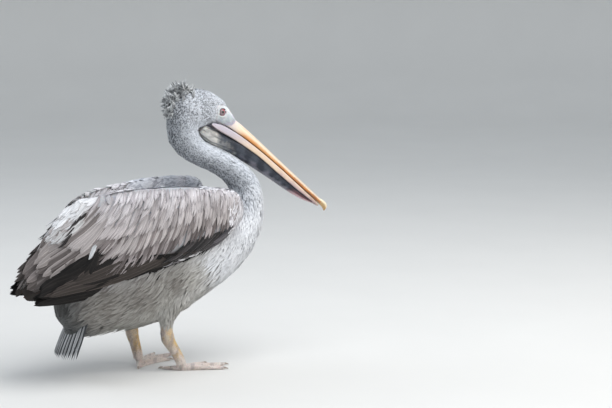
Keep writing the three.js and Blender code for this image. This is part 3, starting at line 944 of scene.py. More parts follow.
@dataclass
class Pouch:
    """The fold of skin from the throat to the fork of the bill."""

    rows: Rows = (
        (-64, 70, 96, 22), (-36, 60, 99, 26), (-12, 54, 94, 26), (30, 42, 82, 24), (75, 34, 71, 21),
        (136, 27, 61, 18), (186, 25, 53, 17), (242, 24, 45.5, 16), (284, 22, 36.5, 12.5),
        (312, 19.5, 27.5, 8),
    )
    rings: int = 120
    around: int = 56
    corners: float = 0.82
    slack: float = 0.028  # how far its folds stand out, as a share of its size

    def tint(self, points: Array, tall: Array, far: Array) -> Array:
        """The colour of the pouch: pale folds at the throat with painted shade in their creases, then slate,
        and red at the fork.

        Args:
            points: places on the pouch.
            tall: how low each is, 0 at the bill and 1 at the pouch's edge.
            far: how far along the bill each is.

        Returns:
            The linear colour of each place.
        """
        cloud = waves(points, 34, 41, 4)
        dark = blend("232a38", "4b525e", step(-0.6, 0.9, cloud) * (0.35 + 0.65 * tall))
        dark = over(dark, "8f8b98", step(0.72, 0.98, tall + cloud * 0.1) * step(20, 120, far) * 0.5)
        fork = step(225, 260, far)
        dark = over(dark, "6d3a40", fork * step(0.4, 0.62, tall) * 0.8)
        dark = over(dark, "c9a5ab", fork * step(0.76, 0.92, tall))
        pale = blend("e6e4df", "bdbbb7", step(-0.4, 1.0, waves(points, 26, 42)))
        # painted shade: dark lines in the creases between the throat's folds
        fold_shade = np.sin(tall * 17 + far * 0.03 + cloud * 0.15)
        pale = over(pale, "5c5b5c", step(0.7, 0.98, fold_shade) * 0.75)
        return over(pale, dark, step(-48, 24, far + (0.5 - tall) * 60 + cloud * 14))

    def add(self, net: Net) -> None:
        """Adds the pouch."""
        rows = curve(self.rows, self.rings)
        turns = np.linspace(0, math.tau, self.around, endpoint=False)
        along, top, low, half = (rows[:, k : k + 1] for k in range(4))
        share = np.linspace(0, 1, len(rows))[:, None]
        wide, down = squarish(turns, self.corners)
        middle, high = (top + low) / 2, (low - top) / 2
        folds = np.sin(turns * 9 + np.sin(share * 9) * 2.2 + 3 * share) * 0.5
        folds = folds + np.sin(turns * 17 - share * 12) * 0.3
        swell = 1 + folds * self.slack * np.sin(math.pi * np.clip(share, 0.04, 1)) ** 0.5
        points, faces = tube(on_bill(along, middle + down * high * swell, wide * half * swell))
        tall = spread((down + 1) / 2, share, [0.5, 0.5])
        far = spread(along, turns, [along[0, 0], along[-1, 0]])
        quill = np.stack([tall, tall * 0.8 + far * 0.002, far / 300], axis=1)
        net.add(points, faces, self.tint(points, tall, far), quill, finish=3)


@dataclass
class Lids:
    """The ring of lid round each eye, from the eyeball out into the face."""

    radii: tuple[float, ...] = (8.6, 8.9, 9.3, 9.9, 10.6, 11.4, 12.8, 14.6)
    heights: tuple[float, ...] = (-0.8, 0.5, 1.1, 0.8, 1.2, 1.0, 0.6, -0.9)
    around: int = 48
    brim: float = 13.0  # how far from the eye the face's skin sets the lid's outer height
    on_ball: float = 4.0  # how far from its inner edge the lid still rests on the ball
    stretch: float = 1.1  # how much longer than high the slit is
    narrow: float = 0.13
    thick: float = 2.0

    def tint(self, ring: Array, turns: Array) -> Array:
        """The colour of the lid: reddish in front, a dark rim at the eye, and white outside."""
        tint = blend("8a767b", "b0626b", step(-0.3, 0.6, np.cos(turns + 0.6)))
        rim = step(10.6, 9.4, ring) * (0.45 + 0.5 * step(-0.4, 0.5, np.sin(turns + 0.5)))
        return over(over(tint, "3d2d33", rim), "f4f6f8", step(9.9, 11.6, ring))

    def add(self, net: Net, surface: Surface) -> None:
        """Adds both lids over the face's surface."""
        turns = np.linspace(0, math.tau, self.around, endpoint=False)
        slit = 1 - self.narrow * np.sin(turns) ** 2
        ball = EYE_OUT + np.sqrt((EYE_BALL + 0.2) ** 2 - self.radii[1] ** 2)
        for side in SIDES.values():
            x, _, z = EYE_MIDDLE
            places = [(x + math.cos(a) * self.brim, z + math.sin(a) * self.brim) for a in turns]
            brim = [surface.from_side(*place, side) for place in places]
            flesh = np.array([abs(hit[0]) if hit else EYE_OUT + 6 for hit in brim])
            rings = []
            for radius, height in zip(self.radii, self.heights):
                share = np.clip((radius - self.radii[0]) / self.on_ball, 0, 1)
                out = ball * (1 - share) + flesh * share + height
                across = x + np.cos(turns) * radius * self.stretch
                rings.append(np.stack([across, side * out, z + np.sin(turns) * radius * slit], axis=-1))
            inward = np.array([0, side * self.thick, 0])
            points, faces = hoop(np.stack([*rings, rings[-1] - inward, rings[0] - inward]))
            ring = np.repeat([*self.radii, self.radii[-1] - 1, self.radii[0] - 0.6], self.around)
            net.add(points, faces, self.tint(ring, np.tile(turns, len(rings) + 2)), finish=1)


@dataclass
class Skin:
    """The one skin of body, neck, head, legs and feet, with the pouch and the lids."""

    coat: CoatMap
    face: BareFace
    wings: Together
    trunk: Surface
    voxel: float = 4.4
    leg_voxel: float = 2.1
    puff: float = 0.5  # millimetres that closes the cuts between the flesh nodes
    leg_depth: float = 1.4  # from the CAD's shanks to the skin where the thigh's coat ends
    brow: float = 2.6  # how far the brow stands out
    head_from: float = 575.0  # the height above which the skin is finer
    legs: tuple[str, ...] = (*SHANKS, "foot_left", "foot_right")

    def remeshed(self, nodes: Sequence[str], voxel: float, rounds: int) -> bpy.types.Mesh:
        """One closed mesh grown from some of the frame's nodes.

        Args:
            nodes: the names of the nodes.
            voxel: how far apart its points are, in millimetres.
            rounds: how often it is smoothed.

        Returns:
            The mesh, in metres.
        """
        gathered = bmesh.new()
        for node in nodes:
            gathered.from_mesh(frame["nodes"][node].data)
        bmesh.ops.remove_doubles(gathered, verts=gathered.verts, dist=1e-5)
        gathered.normal_update()
        for vertex in gathered.verts:
            vertex.co += vertex.normal * self.puff / MM
        mesh = bpy.data.meshes.new("gathered")
        gathered.to_mesh(mesh)
        gathered.free()
        rough = bpy.data.objects.new("gathered", mesh)
        bpy.context.scene.collection.objects.link(rough)
        remesh = rough.modifiers.new("remesh", "REMESH")
        remesh.mode = "VOXEL"
        remesh.voxel_size = voxel / MM
        smooth = rough.modifiers.new("smooth", "SMOOTH")
        smooth.factor = 0.5
        smooth.iterations = rounds
        evaluated = rough.evaluated_get(bpy.context.evaluated_depsgraph_get())
        grown = bpy.data.meshes.new_from_object(evaluated)
        bpy.data.objects.remove(rough)
        return grown

    def refine_head(self, mesh: bpy.types.Mesh) -> None:
        """Halves the faces of the head and the top of the neck."""
        fine = bmesh.new()
        fine.from_mesh(mesh)
        floor = LAYOUT.to_frame(np.array([0.0, 0.0, self.head_from]))[2]
        edges = [edge for edge in fine.edges if min(vertex.co.z for vertex in edge.verts) > floor]
        bmesh.ops.subdivide_edges(fine, edges=edges, cuts=1, smooth=0.6, use_grid_fill=True)
        fine.to_mesh(mesh)
        fine.free()

    def faces_of(self, mesh: bpy.types.Mesh) -> list[Array]:
        """The mesh's faces, as arrays of corners by kind."""
        kinds: dict[int, list[list[int]]] = {}
        for polygon in mesh.polygons:
            kinds.setdefault(len(polygon.vertices), []).append(list(polygon.vertices))
        return [np.array(faces) for faces in kinds.values()]

    def body_tint(self, points: Array, nature: Nature, bare: Array) -> Array:
        """The colour of the skin: down under the coat, darkened as painted shade between the feathers, and
        the face's bare skin.

        Args:
            points: places on the skin.
            nature: what the coat is like there.
            bare: how bare the skin is there.

        Returns:
            The linear colour of each place.
        """
        x, _, z = points.T
        spots = step(-0.3, 0.5, waves(points, 26, 11)) * nature.share
        # painted shade: the down under the coat is made a quarter darker, as shade between the feathers
        down = over(nature.light, nature.dark, spots) * 0.75
        blue = blend("f8fafc", "bccacf", step(626, 600, z) * 0.9 + waves(points, 16, 12) * 0.2)
        rosy = step(186, 204, x) * 0.4 + step(604, 590, z) * 0.5 + waves(points, 12, 13) * 0.25
        return over(down, over(blue, "cfbdd4", np.clip(rosy, 0, 1)), bare)

    def wing_shade(self, points: Array) -> Array:
        """How much painted shade under the wing's lower edge shows at some places."""
        winged = step(0, -4, self.wings.distance(points) - self.trunk.distance(points))
        return winged * step(8, -8, points[:, 2] - height_on(WING_DARK_LINE, points[:, 0]))

    def sink_sockets(self, points: Array) -> None:
        """Draws the skin in behind the eyeballs, so that it shows nowhere in front of them."""
        from_eye = np.hypot(points[:, 0] - EYE_MIDDLE[0], points[:, 2] - EYE_MIDDLE[2])
        socket = EYE_OUT - 1.4 + np.sqrt(np.maximum(EYE_BALL**2 - from_eye**2, 4.0))
        deep = (from_eye < 9.6) & (np.abs(points[:, 1]) > socket)
        points[deep, 1] = (np.sign(points[:, 1]) * socket)[deep]

    def add_body(self, net: Net) -> None:
        """Adds the body, neck and head, drawn in by the coat's depth."""
        mesh = self.remeshed(FLESH + WINGS, self.voxel, 4)
        self.refine_head(mesh)
        hull = Surface(mesh)
        normals = hull.vertex_normals
        x, _, z = hull.points.T
        brow = step(95, 130, x) * step(206, 180, x) * step(640, 664, z)
        hull.points += normals * (brow * self.brow)[:, None]
        nature = self.coat.at(hull.points)
        bare = self.face.share(hull.points)
        depth = np.minimum(nature.depth * (1 - bare), hull.thickness(hull.points, normals) * 0.4)
        ankle = step(110, 126, hull.points[:, 2])
        depth = depth * ankle + self.leg_depth * (1 - ankle)
        points = hull.points - normals * depth[:, None]
        points += normals * (self.creases(hull.points) * bare)[:, None]
        self.sink_sockets(points)
        # painted shade: dark brown laid on the skin under the wing's lower edge
        tint = over(self.body_tint(points, nature, bare), "37322f", self.wing_shade(hull.points))
        quill = np.stack([bare, points[:, 0] / MM, points[:, 2] / MM], axis=1)
        for corners in self.faces_of(mesh):
            finish = (bare[corners].mean(axis=1) > 0.5).astype(int)
            for number in (0, 1):
                chosen = corners[finish == number]
                if len(chosen):
                    net.faces.append(chosen + net.size)
                    net.finishes.append(np.full(len(chosen), number))
        net.add(points, [], tint, quill)

    def creases(self, points: Array) -> Array:
        """How far the face's skin stands up in folds round the eye and along the lores."""
        from_eye = np.hypot(points[:, 0] - EYE_MIDDLE[0], points[:, 2] - EYE_MIDDLE[2])
        rings = np.cos((from_eye - 12.5) * 1.05) * step(26, 12, from_eye) * 0.35
        return rings + waves(points * [0.7, 1, 1.3], 8, 21, 2) * 0.42

    def leg_tint(self, points: Array, normals: Array) -> Array:
        """The colour of shanks and feet: yellow in front, mauve grey behind, pink on the toes.

        Args:
            points: places on the legs.
            normals: which way the skin faces there.

        Returns:
            The linear colour of each place.
        """
        z, ahead = points[:, 2], normals[:, 0]
        colour = blend("efe2da", "e3d3bf", step(20, 60, z + waves(points, 40, 31) * 10))
        front = step(-0.3, 0.8, ahead + waves(points, 26, 34) * 0.4)
        patch = np.maximum(step(0.1, 0.9, waves(points * [1, 1, 0.5], 32, 32)), front)
        colour = over(colour, "e3bb6b", patch * step(22, 50, z) * step(125, 80, z) * 0.75)
        behind = step(0.1, -0.7, ahead) * step(14, 40, z)
        return over(colour, "94868a", (step(0.0, 1.1, waves(points * [1, 1, 0.7], 24, 33)) + behind) * 0.42)

    def add_legs(self, net: Net) -> None:
        """Adds the scaly shanks and the webbed feet."""
        mesh = self.remeshed(self.legs, self.leg_voxel, 3)
        hull = Surface(mesh)
        z = hull.points[:, 2]
        ridges = np.sin(z * 1.45 + waves(hull.points, 30, 36) * 1.2) * step(12, 30, z) * 0.28
        wrinkles = waves(hull.points, 5, 37, 2) * 0.14
        upward = step(0.4, 1.6, z)
        points = hull.points + hull.vertex_normals * ((ridges + wrinkles) * upward)[:, None]
        points[:, 2] = np.maximum(points[:, 2], 0.1)
        net.add(points, self.faces_of(mesh), self.leg_tint(points, hull.vertex_normals), finish=2)

    def grow(self) -> bpy.types.Object:
        """Makes the skin and unwraps it for the bake."""
        body = Net()
        self.add_body(body)
        rough = body.build("rough_skin", [])
        surface = Surface(rough.data)
        bpy.data.objects.remove(rough)
        Lids().add(body, surface)
        self.add_legs(body)
        Pouch().add(body)
        finishes = (
            SkinFinish("down_under_coat", cell=500, relief=0.2, furrow_shade=0.1, roughness=0.9),
            SkinFinish("bare_face_skin", cell=620, relief=0.35, furrow_shade=0.22, mottle=0.3, roughness=0.6),
            SkinFinish(
                "scaly_leg_skin", cell=330, stretch=(1, 1, 1.5), relief=0.5, furrow_shade=0.34, mottle=0.3,
                roughness=0.5,
            ),
            SkinFinish(
                "pouch_skin", cell=420, relief=0.2, furrow_shade=0.08, mottle=0.3, roughness=0.42,
                streaks=0.35, coat=0.08,
            ),
        )
        skin = body.build("skin", [finish.material() for finish in finishes], turned=True)
        self.unwrap(skin)
        return skin

    def unwrap(self, skin: bpy.types.Object) -> None:
        """Unwraps the skin's own shape into the bake map."""
        bpy.context.view_layer.objects.active = skin
        skin.select_set(True)
        bpy.ops.object.mode_set(mode="EDIT")
        bpy.ops.mesh.select_all(action="SELECT")
        bpy.ops.uv.smart_project(angle_limit=1.15, island_margin=0.001)
        bpy.ops.object.mode_set(mode="OBJECT")
        skin.select_set(False)


@dataclass(frozen=True)
class Vane:
    """The shape of one kind of feather."""

    stations: tuple[float, ...] = (0, 0.14, 0.38, 0.64, 0.86, 1)
    section: Rows = ((-1, 0), (0, 1), (1, 0))
    thick: float = 0.26
    cup: float = 0.12  # how far the edges hang, as a share of half the width
    cant: float = 0.07  # how far one edge lies over the next feather
    stem: float = 0.3  # the width at the root, as a share of the widest
    shoulder: float = 0.55  # where the vane starts to narrow
    point: float = 0.55  # 0.5 for a round tip, 1 for a pointed one
    ragged: float = 0.0

    def outline(self) -> Array:
        """The width at each station but the two ends, as a share of the widest."""
        t = np.array(self.stations[1:-1])
        rise = self.stem + (1 - self.stem) * np.clip(t / 0.35, 0, 1) ** 0.7
        past = np.clip((t - self.shoulder) / (1 - self.shoulder), 0, 1)
        return rise * (1 - past**2) ** self.point

    def lay(
        self,
        net: Net,
        paths: Array,
        normals: Array,
        widths: Array,
        tints: Array,
        patches: Array,
        rng: Random,
        patch: tuple[float, float] = (0.0015, 0.0015),
    ) -> None:
        """Adds a feather for each path.

        Args:
            net: what they are added to.
            paths: the place of each shaft at each station.
            normals: which way is up at each of those places.
            widths: the full width of each feather.
            tints: the colour of each feather, or of each feather at each station.
            patches: the middle of each feather's patch in the bake map.
            rng: the source of its small accidents.
            patch: half the size of a patch, across and along.
        """
        count, stations, _ = paths.shape
        section = np.array(self.section)
        columns = len(section)
        inner = stations - 2
        ways = unit(np.gradient(paths, axis=1))
        sides = unit(np.cross(ways, normals))
        ups = np.cross(sides, ways)
        half = widths[:, None] * self.outline()[None] / 2
        half = half * (1 + self.ragged * rng.normal(size=half.shape))
        reach = half[:, :, None] * section[:, 0]
        cant = self.cant * np.where(rng.random(count) < 0.5, 1.0, 0.6)[:, None, None]
        rise = section[:, 1] * self.thick - self.cup * half[:, :, None] * section[:, 0] ** 2
        rise = rise + cant * reach
        body = paths[:, 1:-1, None] + sides[:, 1:-1, None] * reach[..., None]
        body = body + ups[:, 1:-1, None] * rise[..., None]
        body = body.reshape(count, inner * columns, 3)
        points = np.concatenate([paths[:, :1], body, paths[:, -1:]], axis=1)
        across = np.concatenate([[0], np.tile(section[:, 0], inner), [0]])
        along = np.concatenate([[0], np.repeat(self.stations[1:-1], columns), [1]])
        quill = np.zeros((count, len(across), 3))
        quill[..., 0] = across
        quill[..., 1] = along
        quill[..., 2] = rng.random(count)[:, None]
        if tints.ndim == 2:
            tint = np.repeat(tints[:, None, :], len(across), axis=1)
        else:
            body = np.repeat(tints[:, 1:-1], columns, axis=1)
            tint = np.concatenate([tints[:, :1], body, tints[:, -1:]], axis=1)
        uv = patches[:, None] + np.stack([across * patch[0], (along * 2 - 1) * patch[1]], axis=-1)
        j = np.arange(columns)
        k = (j + 1) % columns
        last = 1 + (inner - 1) * columns
        root = np.stack([np.zeros(columns, int), 1 + k, 1 + j], axis=-1)
        tip = np.stack([last + j, last + k, np.full(columns, last + columns)], axis=-1)
        quads = [1 + i * columns + np.stack([j, k, columns + k, columns + j], -1) for i in range(inner - 1)]
        starts = (np.arange(count) * len(across))[:, None, None]
        faces = [
            (np.vstack([root, tip])[None] + starts).reshape(-1, 3),
            (np.vstack(quads)[None] + starts).reshape(-1, 4),
        ]
        rim = np.tile((np.abs(across) > 0.99) | (along == 0) | (along == 1), count)
        points, tint, quill = (value.reshape(-1, 3) for value in (points, tint, quill))
        net.add(points, faces, tint, quill, uv.reshape(-1, 2), rim)


LONG_SECTION = (
    (-1, 0), (-0.55, 0.6), (-0.08, 0.85), (0, 1.5), (0.08, 0.85), (0.55, 0.6), (1, 0),
    (0.4, -0.3), (-0.4, -0.3),
)
SMALL_VANE = Vane(cup=0.06, cant=0.05)
DOWNY_VANE = Vane(thick=0.22, cup=0.06, cant=0.03, shoulder=0.3, point=0.8)
COVERT_VANE = Vane(
    stations=(0, 0.08, 0.22, 0.38, 0.54, 0.68, 0.8, 0.9, 0.97, 1), section=LONG_SECTION, thick=0.45,
    cup=0.22, cant=0.16, shoulder=0.3, point=0.9, ragged=0.06,
)
FLIGHT_VANE = Vane(
    stations=(0, 0.05, 0.14, 0.25, 0.37, 0.49, 0.6, 0.7, 0.79, 0.87, 0.93, 0.97, 1),
    section=LONG_SECTION, thick=0.6, cup=0.16, cant=0.12, shoulder=0.7, point=0.6, ragged=0.025,
)
CREST_VANE = Vane(
    stations=(0, 0.1, 0.25, 0.4, 0.55, 0.7, 0.84, 0.94, 1), thick=0.4, cup=0.3, cant=0.1, stem=0.25,
    shoulder=0.3, point=0.8, ragged=0.12,
)


@dataclass(frozen=True)
class Region:
    """One piece of the coat: its feathers' shape and finish, and how they lie."""

    vane: Vane
    finish: FeatherFinish
    rise: float  # how late along its length a feather leaves the skin, 1 for evenly
    speck: float = 0.0  # where along its length a dark feather turns dark, 0 for dark all over


REGIONS = {
    "head_coat": Region(
        SMALL_VANE, FeatherFinish("head_feather", shaft=0.06, root=0.82, barbs=9, relief=0.1), 0.7, 0.72
    ),
    "neck_coat": Region(
        SMALL_VANE, FeatherFinish("neck_feather", shaft=0.06, root=0.84, barbs=10, relief=0.12), 0.5, 0.74
    ),
    "breast_coat": Region(DOWNY_VANE, FeatherFinish("breast_feather", shaft=0.04, root=0.92, barbs=18), 0.4),
    "mantle_coat": Region(
        SMALL_VANE, FeatherFinish("mantle_feather", shaft=0.2, edge=0.18, root=0.78, barbs=22), 0.5, 0.4
    ),
    **{
        f"flank_coat_{side}": Region(
            DOWNY_VANE, FeatherFinish(f"flank_feather_{side}", shaft=0.05, root=0.92, barbs=20), 0.4
        )
        for side in SIDES
    },
}
WING_TOP_LINE = [
    (140, 300), (135, 424), (120, 440), (60, 454), (0, 458), (-80, 458), (-150, 446), (-215, 424),
    (-262, 392), (-300, 356), (-370, 300),
]


@dataclass
class Plumage:
    """The small feathers that lie over the skin, and how they are laid."""

    coat: CoatMap
    face: BareFace
    surface: Surface
    wings: Together
    trunk: Surface
    seed: int = 7
    tightness: float = 0.8  # how near two roots may be, as a share of the spacing
    tries: float = 5.0  # how many places are tried for each that the spacing asks for
    ankle: float = 116.0  # the height below which no feather grows
    sway: float = 0.11  # how far a feather turns from the lie

    def covered(self, points: Array, normals: Array) -> Array:
        """Which places the long rows of wing feathers cover."""
        x, y, z = points.T
        outward = normals[:, 1] * np.where(y < 0, -1.0, 1.0)
        outer = (outward > -0.2) & (np.abs(y) > 35 + np.minimum(x + 200, 0) * 0.14)
        under = z < height_on(WING_DARK_LINE, x)
        near = self.wings.distance(points) < self.trunk.distance(points) + 2
        return near & ((outer & (z < height_on(WING_TOP_LINE, x))) | under)

    def roots(self) -> tuple[Array, Array, Array, Nature]:
        """Even, seeded places for the feathers' roots: places, normals, triangles and nature."""
        rng = np.random.default_rng(self.seed)
        surface = self.surface
        middles = surface.points[surface.triangles].mean(axis=1)
        nature = self.coat.at(middles)
        bare = self.face.share(middles)
        wanted = surface.areas * (1 - step(0.25, 0.6, bare))
        wanted[(middles[:, 2] < self.ankle) | (surface.finishes != 0)] = 0
        wanted[self.covered(middles, surface.normals)] = 0
        count = rng.poisson(wanted / nature.spacing**2 * self.tries)
        faces = np.repeat(np.arange(len(count)), count)
        rng.shuffle(faces)
        a, b = rng.random((2, len(faces)))
        flip = a + b > 1
        a[flip], b[flip] = 1 - a[flip], 1 - b[flip]
        p, q, r = (surface.points[surface.triangles[faces, k]] for k in range(3))
        points = p + (q - p) * a[:, None] + (r - p) * b[:, None]
        kept = self.thinned(points, nature.spacing[faces] * self.tightness)
        return points[kept], surface.normals[faces[kept]], faces[kept], nature.part(faces[kept])

    def thinned(self, points: Array, spacing: Array) -> Array:
        """The numbers of points that keep their distance from those kept before them."""
        kept: list[int] = []
        cells_apart = 2.6  # how many cells of the search fit in a spacing
        span = range(-3, 4)
        near = [(x, y, z) for x in span for y in span for z in span if x * x + y * y + z * z < cells_apart**2]
        level = np.floor(np.log2(spacing) * 2).astype(int)
        for rank in np.unique(level):
            members = np.flatnonzero(level == rank)
            cell = 2 ** ((rank + 0.5) / 2) / cells_apart
            taken: set[tuple[int, int, int]] = set()
            for member, (x, y, z) in zip(members, np.floor(points[members] / cell).astype(int).tolist()):
                if (x, y, z) not in taken:
                    kept.append(int(member))
                    taken.update((x + a, y + b, z + c) for a, b, c in near)
        return np.sort(np.array(kept))

    def walk(
        self,
        roots: Array,
        normals: Array,
        ways: Array,
        lengths: Array,
        stations: Sequence[float],
    ) -> tuple[Array, Array]:
        """Shafts that follow the skin.

        Args:
            roots: where each starts.
            normals: the skin's normal there.
            ways: which way each goes.
            lengths: how long each is.
            stations: shares of the length at which its place is wanted.

        Returns:
            Places and normals at each station.
        """
        places, ups = [roots], [normals]
        here, up = roots, normals
        way = unit(ways - dot(ways, up) * up)
        for before, after in zip(stations[:-1], stations[1:]):
            here, fresh, _ = self.surface.nearest(here + way * (lengths * (after - before))[:, None])
            up = unit(up * 0.45 + fresh * 0.55)
            way = unit(way - dot(way, up) * up)
            places.append(here)
            ups.append(up)
        return np.stack(places, axis=1), np.stack(ups, axis=1)

    def lay_region(self, name: str, chosen: Array, roots: tuple) -> None:
        """Makes one piece of coat.

        Args:
            name: the piece's name, which is its region's name too.
            chosen: which roots belong to it.
            roots: all the roots, as roots() gives them.
        """
        region = REGIONS[name]
        vane, speck = region.vane, region.speck
        points, normals, faces = (part[chosen] for part in roots[:3])
        nature = roots[3].part(chosen)
        rng = np.random.default_rng([self.seed, len(points)])
        count = len(points)
        sway = np.cross(normals, nature.lie) * rng.normal(scale=self.sway, size=(count, 1))
        length = nature.length * rng.uniform(0.82, 1.18, count)
        places, ups = self.walk(points, normals, nature.lie + sway, length, vane.stations)
        share = np.array(vane.stations)
        lift = 0.3 + (nature.depth * rng.uniform(0.94, 1.02, count))[:, None] * share**region.rise
        clumps = waves(points, 30, 51, 2)[:, None] * share**2 * nature.depth[:, None] * 0.05
        paths = places + ups * (lift + clumps)[..., None]
        pale = rng.random(count) + waves(points, 40, 52) * 0.15
        pale += waves(points * [1.0, 1.0, 0.25], 22, 53, 2) * 0.35 * step(300, 240, points[:, 2])
        soft = 0.12 if speck else 0.7
        dark = step(soft, -soft, pale - nature.share)[:, None]
        dark = (dark * step(speck - 0.2, speck + 0.1, share + (speck == 0)))[..., None]
        tint = nature.light[:, None] * (1 - dark) + nature.dark[:, None] * dark
        tint = tint * rng.uniform(0.96, 1.03, (count, 1, 1))
        net = Net()
        widths = nature.width * rng.uniform(0.85, 1.2, count)
        vane.lay(net, paths, ups, widths, tint, self.surface.places[faces], rng)
        present(net.build(name, [region.finish.material()]), "body_feather")

    def lay(self) -> None:
        """Makes the whole coat, region by region."""
        roots = self.roots()
        x, y, z = roots[0].T
        head = z > 588
        neck = ~head & (z > 418) & (np.abs(y) < 56) & (x > 36) & ~((x < 190) & (z < 452))
        breast = ~head & ~neck & (x > 150) & (z < 430)
        upper = ~head & ~neck & ~breast & (z > 296)
        under = ~head & ~neck & ~breast & ~upper
        chosen = {"head_coat": head, "neck_coat": neck, "breast_coat": breast, "mantle_coat": upper}
        chosen |= {f"flank_coat_{side}": under & (y * sign > 0) for side, sign in SIDES.items()}
        for name in REGIONS:
            self.lay_region(name, chosen[name], roots)


# how steeply a covert hangs, in degrees, at an x of the wing
DROOP = [(160, 76), (80, 72), (0, 66), (-80, 59), (-140, 53), (-200, 45), (-260, 41), (-340, 38)]


@dataclass(frozen=True)
class Row:
    """A row of like feathers on the wing, told in the wing's side view, from front to back."""

    tips: Rows
    count: int
    width: float
    light: str
    dark: str
    share: float
    lift: tuple[float, float]
    length: tuple[float, float] = (0, 0)
    roots: Rows = ()
    bow: float = 0.04
    scatter: float = 2.5
    layer: float = 0.0

    def ends(self, rng: Random) -> tuple[Array, Array]:
        """The root and the tip of each feather, as x and z.

        Args:
            rng: the source of their small accidents.

        Returns:
            Two arrays of places.
        """
        tips = curve(self.tips, self.count) + rng.normal(scale=self.scatter, size=(self.count, 2))
        if self.roots:
            roots = curve(self.roots, self.count)
            return roots + rng.normal(scale=self.scatter * 0.5, size=(self.count, 2)), tips
        angle = height_on(DROOP, tips[:, 0]) + rng.normal(scale=3.5, size=self.count)
        length = np.linspace(*self.length, self.count) * rng.uniform(0.93, 1.07, self.count)
        way = np.stack([np.cos(np.radians(angle)), np.sin(np.radians(angle))], axis=1)
        return tips + way * length[:, None], tips


COVERT_ROWS = (
    Row(
        ((138, 346), (73, 335), (-9, 317), (-81, 295), (-139, 276), (-185, 262), (-204, 288), (-228, 312)),
        44, 15, "989090", "5c5453", 0.45, (1.4, 4.6), (60, 92), bow=0.06,
    ),
    Row(
        ((142, 368), (76, 356), (-5, 341), (-81, 325), (-150, 308), (-196, 306), (-232, 336)), 52, 12.5,
        "aea7a6", "7c7473", 0.4, (1.8, 5.2), (54, 76), bow=0.05,
    ),
    Row(
        ((148, 388), (79, 379), (-2, 367), (-82, 356), (-160, 344), (-211, 344), (-242, 364)), 58, 12,
        "b7b0b0", "8f8888", 0.4, (2, 5.4), (50, 68),
    ),
    Row(
        ((152, 402), (80, 398), (-2, 389), (-82, 380), (-160, 370), (-222, 378)), 72, 9.6,
        "bfb9ba", "a29b9c", 0.4, (2, 5.2), (44, 58), scatter=4,
    ),
    Row(
        ((154, 414), (80, 416), (-2, 410), (-82, 404), (-160, 396), (-222, 400)), 82, 8.4,
        "c5c0c2", "ada7a9", 0.4, (2, 4.8), (38, 50), scatter=5,
    ),
    Row(
        ((156, 424), (80, 432), (-2, 430), (-82, 426), (-160, 416)), 86, 7.6,
        "cbc7ca", "b5afb3", 0.4, (2, 4.4), (32, 42), scatter=5,
    ),
)
WHITE_COVERT = Row(
    ((-229, 297), (-231, 300)), 1, 17, "c6c8cb", "c6c8cb", 0, (4, 7.5), roots=((-203, 340), (-203, 340)),
)
SCAPULAR_ROWS = (
    Row(
        (
            (-308, 334), (-324, 316), (-336, 298), (-341, 282), (-338, 268), (-320, 262), (-290, 276),
            (-262, 296),
        ),
        20, 21, "8f8886", "625b59", 0.35, (1.2, 3.2), bow=0.03, layer=1.6,
        roots=((-206, 428), (-186, 422), (-170, 402), (-165, 372), (-172, 350)),
    ),
    Row(
        ((-290, 360), (-292, 346), (-282, 334), (-262, 322), (-246, 316)), 19, 16,
        "a8a1a0", "756e6c", 0.3, (2.4, 5.4), layer=1,
        roots=((-224, 424), (-196, 424), (-170, 406), (-172, 386)),
    ),
    Row(
        ((-350, 228), (-361, 238), (-366, 252), (-364, 266), (-358, 280)), 9, 22,
        "857d7b", "5b5452", 0.45, (0.6, 1.8), layer=0.8,
        roots=((-246, 318), (-250, 330), (-262, 346), (-276, 356)),
    ),
)
WHITE_ROWS = tuple(
    Row(tips, count, 15, light, "b5b1b1", 0.2, (5, 8), (56, 54), scatter=2)
    for tips, count, light in (
        (((-318, 352), (-306, 338), (-290, 334), (-272, 342), (-256, 356)), 8, "c9c8c8"),
        (((-300, 376), (-286, 362), (-268, 362), (-250, 376), (-238, 392)), 8, "e9e9eb"),
        (((-280, 400), (-264, 390), (-246, 396), (-228, 410)), 7, "ececee"),
        (((-254, 418), (-236, 412), (-214, 424)), 6, "ececee"),
    )
)
SLIT_ROW = Row(
    ((-286, 326), (-262, 356), (-238, 384)), 6, 6,
    "2e2a2a", "2e2a2a", 0, (8.2, 9), (34, 34), scatter=1.5,
)
FLIGHT_ROW = Row(
    ((-362, 205), (-362, 210), (-360, 217), (-355, 225), (-346, 233), (-334, 238)), 20, 25,
    "161312", "0c0a0a", 0.5, (0.6, 1.2), bow=0.05, scatter=1.2, layer=2.6,
    roots=((112, 306), (60, 304), (-10, 306), (-80, 308), (-150, 318), (-205, 338)),
)
SECONDARY_ROW = Row(
    ((-346, 214), (-340, 222), (-328, 229), (-312, 236), (-290, 246), (-262, 258), (-235, 270)), 17, 19,
    "3a3431", "1a1716", 0.45, (2, 3.4), bow=0.04, scatter=1.5, layer=1.4,
    roots=((30, 306), (-20, 306), (-70, 301), (-110, 300), (-150, 304), (-180, 316), (-200, 330)),
)
HAND_ROW = Row(
    ((74, 306), (12, 296), (-64, 281)), 16, 16,
    "3c3839", "232122", 0.45, (2.4, 5), roots=((140, 347), (84, 345), (16, 333)), bow=0.06,
)
ALULA_ROW = Row(
    ((92, 336), (78, 322), (66, 312), (60, 303)), 5, 15,
    "4c494d", "38363a", 0.4, (4.4, 6.6), roots=((148, 364), (147, 358), (145, 351), (142, 344)), bow=0.05,
)
MARGIN_ROW = Row(
    ((34, 302), (-2, 291), (-52, 277)), 11, 5.5,
    "dedde0", "6f6b6d", 0.45, (3, 5), roots=((56, 308), (20, 298), (-30, 285)), bow=0.14, scatter=3.5,
)


@dataclass(frozen=True)
class WingPart:
    """One piece of a wing: rows of feathers of one shape and finish."""

    name: str
    slot: str
    node: str
    rows: tuple[Row, ...]
    vane: Vane
    finish: FeatherFinish
    cells: int = 0  # cells along a side of the piece's own bake map, or 0 for patches on the skin's map


